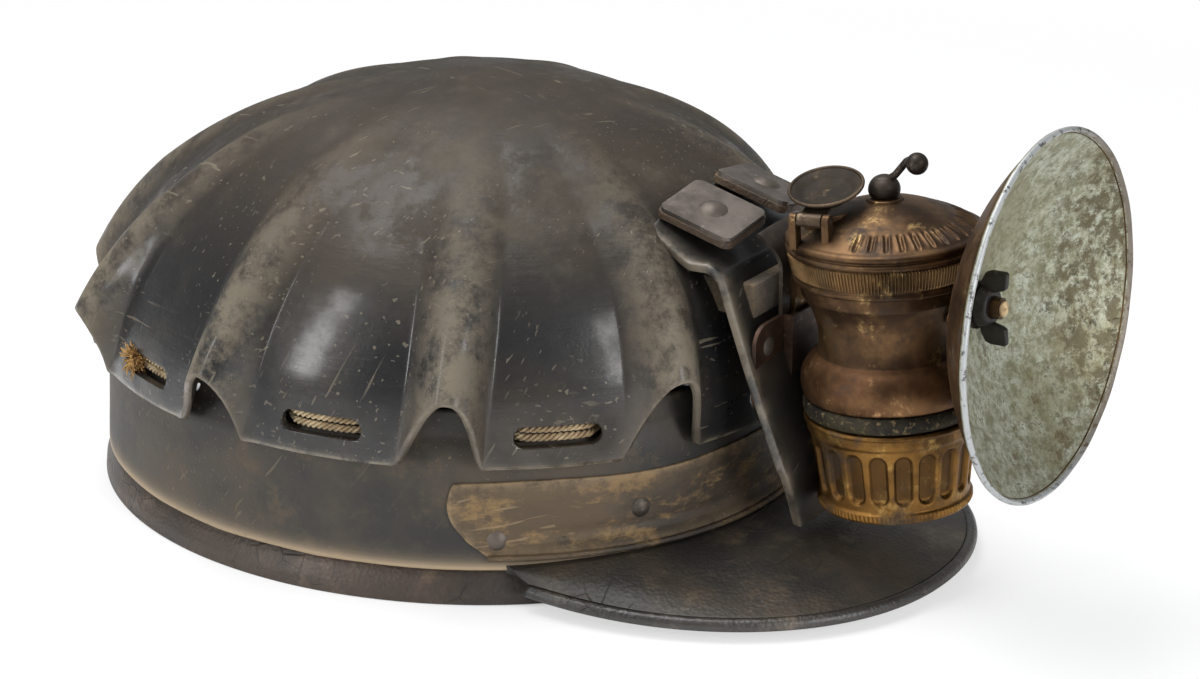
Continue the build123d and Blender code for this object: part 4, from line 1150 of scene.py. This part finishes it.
# Clamp plates, pads and rivets
# Two small steel plates over leather pads clamp the strap to the crown with one domed rivet
# each. The steel has gone brown-grey with handling.
def metal_finish(name, dark, light, bright, rough, metal, grime=(0.03, 0.022, 0.016), grime_share=0.6):
    """Old metal: patina, grime in patches, bright in rubbed patches."""
    finish = Finish(name)
    cloud = finish.noise(60.0, 6.0, 0.66)
    fine = finish.noise(420.0, 6.0, 0.72)
    rubbed = (finish.noise(95.0, 7.0, 0.75).rise(0.54, 0.68) * fine.rise(0.4, 0.6)).clamp()
    dirty = (finish.noise(75.0, 7.0, 0.7).rise(0.52, 0.68) * grime_share).clamp()
    colour = finish.layers(dark, (cloud.rise(0.36, 0.66), light), (rubbed, bright), (dirty, grime))
    roughness = rough + 0.2 * cloud + 0.25 * dirty - 0.12 * rubbed
    return finish.finish(
        colour=colour, metallic=(metal - 0.6 * dirty).clamp(), roughness=roughness.clamp(),
        normal=finish.bump(fine * 0.5 + cloud * 0.4, 0.12),
    )


plate_steel = metal_finish(
    "clamp_plate_steel", (0.075, 0.062, 0.052), (0.16, 0.135, 0.115), (0.30, 0.26, 0.22), 0.36, 0.7
)
rivet_steel = metal_finish("rivet_steel", (0.06, 0.05, 0.042), (0.14, 0.115, 0.095), (0.26, 0.22, 0.18), 0.42, 0.7)


def dress(node, finish, width=0.3, segments=2):
    """Keeps a node of the frame, rounds its edges and gives it a finish."""
    piece = nodes[node]
    piece.data.materials.clear()
    piece.data.materials.append(finish)
    for polygon in piece.data.polygons:
        polygon.material_index = 0
    if width:
        soften(piece, width, segments)


def pad_piece(name, node, corner, finish):
    """Soft pad with rounded edges in the place of a boxy node."""
    source = nodes[node].data
    mesh = bpy.data.meshes.new(name)
    cloth = bmesh.new()
    cloth.from_mesh(source)
    bmesh.ops.remove_doubles(cloth, verts=cloth.verts, dist=1e-6)
    bmesh.ops.dissolve_limit(cloth, angle_limit=0.02, verts=cloth.verts, edges=cloth.edges)
    cloth.to_mesh(mesh)
    cloth.free()
    piece = bpy.data.objects.new(name, mesh)
    scene.collection.objects.link(piece)
    soften(piece, corner, 3)
    mesh.materials.clear()
    settle(piece, finish, "helmet", node)


pad_piece("strap_pad_leather", "strap_pads", 0.6, leather_finish(
    "pad_leather", (0.05, 0.03, 0.017), (0.15, 0.09, 0.045), (0.25, 0.17, 0.09), 900.0))
for node in ("right_clamp_plate", "left_clamp_plate"):
    dress(node, plate_steel, 0.35, 3)
for node in ("plate_rivets", "strip_rivets", "keeper_rivets"):
    dress(node, rivet_steel, 0.0)


def felt_finish():
    finish = Finish("brown_felt")
    cloud = finish.noise(90.0, 5.0, 0.7)
    fuzz = finish.noise(900.0, 5.0, 0.75)
    colour = finish.mix(cloud.rise(0.35, 0.65), (0.07, 0.045, 0.024), (0.20, 0.14, 0.075))
    return finish.finish(colour=colour, roughness=0.92, sheen=0.3, normal=finish.bump(fuzz + cloud, 0.6))


felt = felt_finish()
pad_piece("front_felt_block", "front_felt", 1.2, felt)


# Lamp holder
# A bent steel strip and a riveted keeper plate hang on the strap's face. The lamp's hook
# drops between the strip's rails into the plate's raised channel.
keeper_copper = metal_finish(
    "keeper_copper", (0.045, 0.026, 0.018), (0.115, 0.064, 0.042), (0.24, 0.15, 0.10), 0.4, 0.75
)
holder_steel = metal_finish(
    "holder_steel", (0.035, 0.027, 0.021), (0.095, 0.072, 0.055), (0.22, 0.175, 0.135), 0.38, 0.75
)
dress("holder_strip", holder_steel, 0.35, 3)
dress("keeper_plate", keeper_copper, 0.45, 3)


# Lamp tank
# The water tank is drawn brass with a pinched waist above a tall bulged flange of a coppery
# tone. It has darkened to bronze brown, with gold where hands have rubbed it.
lamp_reach = 153.8
lamp_foot = 10.0
lamp_lean = math.radians(4.4)
lamp_frame = Matrix.Translation((0, -lamp_reach, lamp_foot)) @ Matrix.Rotation(-lamp_lean, 4, "X")


def face_out(piece, merge=False):
    """Turns a closed piece's faces outwards, its doubled points merged first if asked."""
    mesh = bmesh.new()
    mesh.from_mesh(piece.data)
    if merge:
        bmesh.ops.remove_doubles(mesh, verts=mesh.verts, dist=1e-6)
    bmesh.ops.recalc_face_normals(mesh, faces=mesh.faces)
    mesh.to_mesh(piece.data)
    mesh.free()


def prism_piece(name, points, smooth=True):
    """Solid between two like outlines, given one after the other."""
    count = len(points) // 2
    faces = [tuple(range(count)), tuple(range(2 * count - 1, count - 1, -1))]
    faces += [(i, count + i, count + (i + 1) % count, (i + 1) % count) for i in range(count)]
    piece = mesh_piece(name, points, faces, smooth=smooth)
    face_out(piece)
    return piece


def turned_piece(name, outline, frame, segments=192, ripple=None, closed=False, marks=None):
    """Piece of revolution from radius and height pairs in millimetres, in a local frame.

    A ripple gives how far each point moves outwards and up.
    """
    outline = np.array(outline, float)
    angles = np.linspace(0, 2 * math.pi, segments, endpoint=False)
    radius = np.broadcast_to(outline[:, 0][:, None], (len(outline), segments)).copy()
    height = np.broadcast_to(outline[:, 1][:, None], (len(outline), segments)).copy()
    if ripple:
        around, level = ripple(angles[None, :], radius, height)
        radius, height = radius + around, height + level
    points = np.stack([radius * np.sin(angles), -radius * np.cos(angles), height], -1).reshape(-1, 3)
    rotation, shift = np.array(frame.to_3x3()), np.array(frame.translation)
    points = points @ rotation.T + shift
    faces = grid_faces(len(outline), segments, round_rows=closed, round_columns=True)
    layers = {key: np.repeat(value, segments) for key, value in (marks or {}).items()}
    piece = mesh_piece(name, points, faces, layers)
    face_out(piece, merge=True)
    return piece


def arc_points(start, middle, end, count=16):
    """Points on the round arc through three points."""
    (ax, ay), (bx, by), (cx, cy) = start, middle, end
    det = 2 * (ax * (by - cy) + bx * (cy - ay) + cx * (ay - by))
    a2, b2, c2 = ax * ax + ay * ay, bx * bx + by * by, cx * cx + cy * cy
    ux = (a2 * (by - cy) + b2 * (cy - ay) + c2 * (ay - by)) / det
    uy = (a2 * (cx - bx) + b2 * (ax - cx) + c2 * (bx - ax)) / det
    first, mid, last = (math.atan2(y - uy, x - ux) for x, y in (start, middle, end))
    sweep = (last - first) % (2 * math.pi)
    if (mid - first) % (2 * math.pi) > sweep:
        sweep -= 2 * math.pi
    radius = math.hypot(ax - ux, ay - uy)
    return [(ux + radius * math.cos(first + sweep * t), uy + radius * math.sin(first + sweep * t))
            for t in np.linspace(0, 1, count)]


def rounded(outline, radius, steps=3):
    """Outline with its corners eased by short arcs."""
    smooth = [outline[0]]
    for before, here, after in zip(outline, outline[1:], outline[2:]):
        corner = Vector(here)
        into, out = Vector(before) - corner, Vector(after) - corner
        turn = math.pi - into.angle(out, math.pi)
        if turn < 0.25:
            smooth.append(here)
            continue
        near = min(radius, into.length * 0.45, out.length * 0.45)
        start, end = corner + into.normalized() * near, corner + out.normalized() * near
        for step in range(steps + 1):
            t = step / steps
            smooth.append(tuple(start * (1 - t) ** 2 + corner * 2 * t * (1 - t) + end * t ** 2))
    return smooth + [outline[-1]]


flange_top = 61.0
flange = arc_points((24.5, 48.7), (25.4, 53.0), (21.4, 60.4), 16)
waist = arc_points((20.4, 61.2), (20.0, 67.5), (24.2, 78.4), 24)
tank_outline = rounded([
    (19.0, 48.3), (23.9, 48.3), *flange, *waist, (24.4, 80.0), (24.4, 86.0), (23.4, 86.0), (23.4, 79.4),
    *[(r - 1.0, h) for r, h in waist[::-1]], (19.4, 50.0), (3.2, 50.0), (3.2, 48.3), (19.0, 48.3),
], 0.4)
brass = metal_finish(
    "lamp_brass", (0.052, 0.029, 0.016), (0.155, 0.088, 0.041), (0.52, 0.35, 0.15), 0.38, 0.9,
    (0.024, 0.015, 0.010), 0.75,
)
copper = metal_finish(
    "flange_copper", (0.085, 0.042, 0.020), (0.205, 0.108, 0.048), (0.46, 0.27, 0.13), 0.38, 0.88,
    (0.032, 0.019, 0.014), 0.6,
)
tank = turned_piece("lamp_tank_body", tank_outline, lamp_frame)
settle(tank, [brass, copper], "lamp", "lamp_tank")
for polygon in tank.data.polygons:
    level = (lamp_frame.inverted() @ (polygon.center / MM)).z
    polygon.material_index = 1 if level < flange_top else 0
boss = turned_piece("tank_thread_boss", rounded([
    (19.0, 48.6), (19.0, 33.4), (19.9, 33.4), (19.9, 48.6),
], 0.2), lamp_frame)
settle(boss, brass, "lamp")


# Tank lid
# The lid is a stamped dome crimped over the tank, with a knurled ring low on it, stepped
# beads, short notches round its front, and a filler neck with a hinged door.
notch_count = 17
notch_spread = math.radians(162.0)
notch_depth = 0.65
lid_wall = 0.8
knurl_teeth = 180
knurl_height = 0.36
lid_outline = rounded([
    (24.5, 82.2), (25.6, 82.3), (26.3, 82.9), (26.2, 83.7), (25.7, 84.2), (26.0, 85.0), (27.0, 90.6), (27.0, 91.0),
    (27.9, 91.5), (28.05, 92.2), (27.6, 92.8), (27.0, 93.0), (27.2, 93.5), (27.9, 94.0), (28.0, 94.8), (27.5, 95.4),
    (26.6, 95.7), *[(26.2 - 7.4 * step / 15, 95.8 + 3.9 * (step / 15) ** 0.9) for step in range(16)],
    *arc_points((18.0, 100.1), (11.0, 102.7), (4.5, 104.2), 8),
], 0.3, 2)


def lid_ripple(angle, radius, height):
    """Front notches with raised lips."""
    place = (angle + math.pi) % (2 * math.pi) - math.pi
    pitch = notch_spread / (notch_count - 1)
    nearest = np.round(place / pitch) * pitch
    inside = (np.abs(nearest) <= notch_spread / 2 + 1e-6) * (height > 95.75)
    across = np.abs(place - nearest) * radius
    groove = 0.3 * np.exp(-((across - 1.0) / 0.4) ** 2) - notch_depth * np.clip(1 - (across / 0.62) ** 4, 0, 1)
    length = np.clip(1 - np.abs((radius - 22.6) / 2.9) ** 6, 0, 1)
    return 0.0, groove * length * inside


def ring_ripple(angle, radius, height):
    """Knurls up the ring's outside."""
    outside = (radius > 26.1) & (height > 84.9) & (height < 90.7)
    return knurl_height * outside * np.cos(angle * knurl_teeth), 0.0


ring = turned_piece("lid_knurled_ring", [
    (25.4, 84.5), (26.0, 84.6), (26.2, 85.0), (26.35, 85.6), (26.9, 88.0), (27.35, 90.2), (27.3, 90.6), (27.0, 90.95),
    (26.0, 91.0), (25.4, 84.5),
], lamp_frame, 6 * knurl_teeth, ring_ripple)
settle(ring, metal_finish(
    "knurl_brass", (0.085, 0.050, 0.022), (0.23, 0.14, 0.062), (0.62, 0.44, 0.20), 0.32, 0.92, (0.03, 0.02, 0.012), 0.4
), "lamp")

lid = turned_piece("tank_lid_dome", lid_outline, lamp_frame, 600, lid_ripple)
thicken(lid, lid_wall)
settle(lid, brass, "lamp", "tank_lid")

neck_place = (-9.3, 12.4)
neck_frame = lamp_frame @ Matrix.Translation((*neck_place, 0))
neck = turned_piece("filler_neck", rounded([
    (6.4, 98.0), (6.4, 102.0), (6.6, 102.4), (7.2, 102.4), (7.4, 102.0), (7.4, 98.0),
], 0.2), neck_frame, 96)
valve_boss = turned_piece("valve_boss", rounded([
    (5.2, 103.6), (5.2, 104.3), (4.7, 104.6), (3.6, 104.7), (3.2, 105.2), (1.5, 105.2), (1.5, 103.6),
], 0.25), lamp_frame, 96)
for piece in (neck, valve_boss):
    settle(piece, brass, "lamp")

door_turn = math.radians(7.0)
door_open = math.radians(16.0)
hinge_reach = 12.9
hinge_height = 102.7
ear_half = 1.9
ear_foot = 8.3
ear_sides = (3.75, 5.95)
door_frame = lamp_frame @ Matrix.Translation((*neck_place, hinge_height)) @ Matrix.Rotation(door_turn, 4, "Z")
for side in (-1, 1):
    ear_points = []
    for reach in ear_sides:
        outline = [(-ear_half, -ear_foot), (ear_half, -ear_foot)]
        outline += [(ear_half * math.cos(t), ear_half * math.sin(t)) for t in np.linspace(0, math.pi, 9)]
        ear_points += [door_frame @ Vector((x - hinge_reach, side * reach, z)) for x, z in outline]
    ear = prism_piece(f"hinge_ear_{'left' if side < 0 else 'right'}", ear_points, smooth=False)
    soften(ear, 0.25)
    settle(ear, brass, "lamp")

door_brass = metal_finish(
    "door_brass", (0.055, 0.037, 0.024), (0.13, 0.092, 0.058), (0.30, 0.225, 0.14), 0.42, 0.8,
    (0.025, 0.019, 0.014), 0.65,
)
dress("water_door", door_brass, 0.2)
opened_frame = (door_frame @ Matrix.Translation((-hinge_reach, 0, 0)) @ Matrix.Rotation(-door_open, 4, "Y")
                @ Matrix.Translation((hinge_reach, 0, 0)))
door_dirt = metal_finish("door_dirt", (0.020, 0.014, 0.009), (0.055, 0.040, 0.024), (0.16, 0.115, 0.06), 0.6, 0.6)
liner = turned_piece("door_bowl", [
    (0.05, 0.9), (5.5, 0.9), (6.8, 1.0), (7.4, 1.3), (9.6, 2.75), (9.8, 3.0), (9.5, 3.0), (7.2, 1.5), (6.6, 1.2),
    (5.4, 1.1), (0.05, 1.1),
], opened_frame, 96)
settle(liner, door_dirt, "door")
lip_radius = 0.5
lip_ring = turned_piece("door_lip", [
    (10.25 + lip_radius * math.cos(t), 3.0 + lip_radius * math.sin(t)) for t in np.linspace(0, 2 * math.pi, 13)[:-1]
], opened_frame, 96, closed=True)
settle(lip_ring, door_brass, "door")
dress("door_pin", rivet_steel, 0.15)
lever_steel = metal_finish("lever_steel", (0.018, 0.014, 0.012), (0.055, 0.041, 0.031), (0.14, 0.11, 0.085), 0.4, 0.7)
for node in ("valve_lever", "valve_rod", "nut_washer"):
    dress(node, lever_steel, 0.12)
knob = turned_piece("lever_knob", rounded([
    (1.6, 105.4), (3.7, 104.95), (4.2, 105.4), *arc_points((4.5, 106.4), (3.7, 109.3), (0.05, 111.0), 14)[:-1],
    (0.05, 111.0), (0.05, 108.0), (1.6, 107.0), (1.6, 105.4),
], 0.2), lamp_frame, 96)
settle(knob, lever_steel, "lever")
for node in ("water_tube", "filter_retainer"):
    dress(node, brass, 0.1)
dress("lamp_hook", brass, 0.3)
dress("burner_stem", brass, 0.12)
dress("burner_seat", copper, 0.3)

filter_disc = turned_piece("filter_felt_disc", rounded([
    (3.3, 36.6), (17.7, 36.6), (18.2, 37.4), (18.2, 39.7), (17.7, 40.4), (3.3, 40.4), (3.3, 36.6),
], 0.5), lamp_frame, 96)
settle(filter_disc, felt, "lamp", "filter_felt")


# Gasket
# A thick ring of black rubber seals the cup to the tank. It bulges where it is squeezed, and
# it has gone dull with oil and brass dust.
rubber = Finish("gasket_rubber")
rubber_cloud = rubber.noise(70.0, 5.0, 0.65)
rubber_fine = rubber.noise(500.0, 4.0, 0.7)
rubber_colour = rubber.layers(
    (0.008, 0.007, 0.0055), (rubber_cloud.rise(0.4, 0.65), (0.040, 0.032, 0.018)),
    (rubber_fine.rise(0.56, 0.62), (0.13, 0.095, 0.045)),
)
rubber_black = rubber.finish(
    colour=rubber_colour, roughness=0.62, specular=0.2,
    normal=rubber.bump(rubber_cloud + rubber_fine * 0.5, 0.3),
)
gasket = turned_piece("gasket_ring", rounded([
    (20.3, 42.9), (23.4, 42.9), (24.5, 43.5), (25.0, 45.2), (25.0, 47.0), (24.4, 48.1), (20.3, 48.1), (20.3, 42.9),
], 0.5), lamp_frame, 192, lambda angle, radius, height: (0.12 * np.sin(5 * angle + 1) * (radius > 23), 0.0))
settle(gasket, rubber_black, "seal", "gasket")


# Carbide cup
# The cup is spun brass with pressed flutes for grip and a knurled foot. It is the brightest
# part of the lamp, golden brown with patches of dark dirt, and shade is painted dark into the flutes.
flute_count = 20
flute_height = 14.6
flute_width = 4.6
flute_depth = 1.3
flute_centre = 28.6
foot_teeth = 108
foot_knurl = 0.2
cup_outline = rounded([
    (0.05, 15.6), (15.0, 15.6), (17.0, 15.9), (20.8, 15.55), (21.7, 15.9), (21.9, 16.4),
    *[(21.9, 16.6 + 0.25 * step) for step in range(7)], (21.9, 18.2), (21.3, 18.7),
    *[(21.2 + 2.2 * step / 44, 19.0 + 18.6 * step / 44) for step in range(45)],
    (24.1, 38.6), (24.5, 41.3), (25.0, 41.8), (24.9, 42.5), (24.4, 42.75), (20.15, 42.75), (20.15, 33.0),
    (19.6, 18.0), (0.05, 16.9),
], 0.3, 2)


def cup_ripple(angle, radius, height):
    """Stadium flutes up the side and a knurled foot."""
    pitch = 2 * math.pi / flute_count
    across = np.abs((angle + pitch / 2) % pitch - pitch / 2) * radius
    rise = np.maximum(np.abs(height - flute_centre) - (flute_height - flute_width) / 2, 0)
    reach = np.hypot(across, rise) / (flute_width / 2)
    wall = (radius > 20.9) & (height > 18.9) & (height < 37.8)
    dish = np.clip((1.22 - reach) / 0.34, 0, 1)
    knurl = np.where((height > 16.55) & (height < 18.15) & (radius > 21.7), 1.0, 0.0)
    return -flute_depth * dish * wall + knurl * foot_knurl * np.cos(angle * foot_teeth), 0.0


cup_brass = Finish("cup_brass")
cup_cloud = cup_brass.noise(55.0, 6.0, 0.66)
cup_fine = cup_brass.noise(380.0, 6.0, 0.72)
cup_rubbed = (cup_brass.noise(90.0, 7.0, 0.75).rise(0.50, 0.64) * cup_fine.rise(0.38, 0.58)).clamp()
cup_dirt = (cup_brass.noise(60.0, 7.0, 0.72).rise(0.50, 0.64) * 0.8).clamp()
# painted shade: each flute is darkened by how deep its points sink, standing in for the shade inside it
cup_flute_shade = cup_brass.attribute("hollow") * (0.25 + 0.7 * cup_cloud)
cup_colour = cup_brass.layers(
    (0.070, 0.035, 0.011), (cup_cloud.rise(0.36, 0.66), (0.235, 0.118, 0.030)),
    (cup_rubbed * 0.7, (0.46, 0.29, 0.095)), (cup_dirt, (0.045, 0.028, 0.015)),
    (cup_flute_shade.clamp(), (0.035, 0.019, 0.009)),
)
cup_metal = cup_brass.finish(
    colour=cup_colour, metallic=(0.92 - 0.6 * cup_dirt).clamp(),
    roughness=(0.36 + 0.2 * cup_cloud + 0.25 * cup_dirt).clamp(),
    normal=cup_brass.bump(cup_fine * 0.6 + cup_cloud, 0.15),
)
cup = turned_piece("carbide_cup_body", cup_outline, lamp_frame, 8 * foot_teeth, cup_ripple)
settle(cup, cup_metal, "cup", "carbide_cup")
# How deep each point sinks into a flute, the mask for the painted shade in the flutes
cup_places = np.array([lamp_frame.inverted() @ (vertex.co / MM) for vertex in cup.data.vertices])
cup_radii = np.hypot(cup_places[:, 0], cup_places[:, 1])
cup_outside = np.interp(cup_places[:, 2], (19.0, 37.6), (21.2, 23.4))
sunk = np.clip((cup_outside - cup_radii) / flute_depth, 0, 1) * (cup_radii > 20.3)
cup.data.attributes.new("hollow", "FLOAT", "POINT").data.foreach_set("value", sunk.astype(np.float32))


# Reflector
# A spun dish with a thin rolled rim, plated inside. The plating has tarnished to a speckled
# grey-green, browner on the side away from the camera, and the back is bare brass.
dish_radius = 50.8
dish_depth = 22.0
dish_wall = 0.8
dish_rim = 0.95
dish_reach = 175.6
dish_height = 88.8
dish_tilt = math.radians(2.3)
dish_frame = Matrix.Translation((0, -dish_reach, dish_height)) @ Matrix.Rotation(math.pi / 2 - dish_tilt, 4, "X")
bowl = arc_points((8.0, 0.0), (dish_radius * 0.56, dish_depth * 0.30), (dish_radius, dish_depth), 48)
rim = [(dish_radius + dish_rim * math.sin(t), dish_depth + dish_rim * math.cos(t))
       for t in np.linspace(-0.2, 4.2, 14)]
back = [(r + 0.25, h - dish_wall) for r, h in bowl[::-1][2:]]
dish_outline = [(3.2, 0.0), (5.0, 0.0), (6.5, 0.0), (7.5, 0.0), *bowl[:-1], *rim,
                *back, (7.5, -dish_wall), (3.2, -dish_wall), (3.2, 0.0)]
depth_mark = np.array([h / dish_depth for r, h in dish_outline])


def dish_ripple(angle, radius, height):
    """Slight hand-spun unevenness near the rim."""
    near_rim = np.clip((radius - 44) / 6, 0, 1)
    wobble = 0.12 * np.sin(3 * angle + 0.7) * near_rim + 0.05 * np.sin(17 * angle) * near_rim
    return 0.0, wobble


dish = turned_piece("reflector_dish", dish_outline, dish_frame, 288, dish_ripple, marks={"depth": depth_mark})


def plating_finish():
    """Tarnished plating: grey-green haze with dark and rusty specks."""
    finish = Finish("reflector_plating")
    cloud = finish.noise(30.0, 7.0, 0.70)
    mottle = finish.noise(200.0, 8.0, 0.8)
    speck = finish.noise(620.0, 5.0, 0.75)
    dark = (mottle.rise(0.53, 0.62) * speck.rise(0.46, 0.56)).clamp()
    dots = finish.noise(380.0, 6.0, 0.8).rise(0.47, 0.60)
    across, height = (
        finish.node("ShaderNodeSeparateXYZ", {}, {0: finish.place}, output=axis) for axis in (0, 2)
    )
    low = 1.0 - height.rise(0.045, 0.10)
    rust = (finish.noise(85.0, 6.0, 0.75) + 0.07 * low).clamp().rise(0.62, 0.70)
    grime = (across.rise(0.016, 0.046) * 1.7 * finish.noise(210.0, 8.0, 0.8).rise(0.44, 0.58)).clamp()
    chips = finish.noise(330.0, 5.0, 0.75).rise(0.53, 0.60)
    rim_colour = finish.layers(
        (0.40, 0.41, 0.41), (chips * 0.9, (0.04, 0.036, 0.03)), (across.rise(0.0, 0.035) * 0.8, (0.115, 0.082, 0.048))
    )
    colour = finish.layers(
        (0.205, 0.198, 0.125), (mottle.rise(0.38, 0.62), (0.47, 0.49, 0.405)),
        (cloud.rise(0.42, 0.60) * 0.6, (0.205, 0.185, 0.098)), (dark * 0.9, (0.060, 0.055, 0.028)),
        (dots * 0.7, (0.135, 0.125, 0.068)), (rust * 0.85, (0.085, 0.060, 0.025)),
        (grime * 0.85, (0.075, 0.058, 0.026)), (finish.attribute("depth").rise(0.985, 1.0), rim_colour),
    )
    roughness = 0.36 + 0.25 * mottle + 0.2 * dark
    metallic = 0.55 - 0.4 * dark - 0.3 * rust
    return finish.finish(
        colour=colour, roughness=roughness.clamp(), metallic=metallic.clamp(),
        normal=finish.bump(mottle * 0.6 + speck * 0.4 - dark * 0.5, 0.12),
    )


settle(dish, [plating_finish(), brass], "lamp", "reflector")
dish_inverse = dish_frame.inverted()
normal_turn = dish_frame.to_3x3().inverted()
for polygon in dish.data.polygons:
    centre = dish_inverse @ (polygon.center / MM)
    facing = (normal_turn @ polygon.normal).z
    radial = math.hypot(centre.x, centre.y)
    polygon.material_index = 1 if facing < 0 and radial < dish_radius - 0.6 else 0


# Wing nut and burner
# A blackened wing nut holds the dish on the burner's threaded stem, and a small jet of
# tan steatite stands in the middle.
nut_foot = 1.0
nut_black = metal_finish("nut_black", (0.010, 0.009, 0.008), (0.030, 0.026, 0.022), (0.12, 0.10, 0.085), 0.38, 0.5)
nut_outline = rounded([
    (3.05, nut_foot), (5.6, nut_foot), (5.8, 1.8), (5.4, 4.2), (4.9, 5.0), (3.05, 5.0), (3.05, nut_foot),
], 0.3)
nut = turned_piece("wing_nut_hub", nut_outline, dish_frame, 64)
settle(nut, nut_black, "nut", "wing_nut")
for side in (-1, 1):
    wing = []
    for half in (-0.95, 0.95):
        outline = [(4.4, 1.2), (7.4, 1.4), (10.0, 2.8), (10.6, 4.6), (10.6, 8.8), (10.0, 9.4), (5.8, 9.0), (5.2, 8.0),
                   (4.4, 5.0)]
        wing += [dish_frame @ Vector((half * (1.15 if y < 6 else 0.9), side * y, z)) for y, z in outline]
    ear = prism_piece(f"wing_{'lower' if side < 0 else 'upper'}", wing)
    soften(ear, 0.5, 3, 25.0)
    settle(ear, nut_black, "nut")

stone = Finish("burner_steatite")
stone_cloud = stone.noise(400.0, 4.0, 0.6)
jet = turned_piece("burner_jet", rounded([
    (0.4, 7.65), (2.2, 7.65), (2.25, 8.3), (2.0, 8.6), (0.5, 8.65), (0.4, 8.2), (0.4, 7.65),
], 0.2), dish_frame, 64)
settle(jet, stone.finish(
    colour=stone.mix(stone_cloud.rise(0.4, 0.6), (0.27, 0.18, 0.085), (0.50, 0.37, 0.20)), roughness=0.6,
    normal=stone.bump(stone_cloud, 0.1),
), "lamp", "burner_tip")
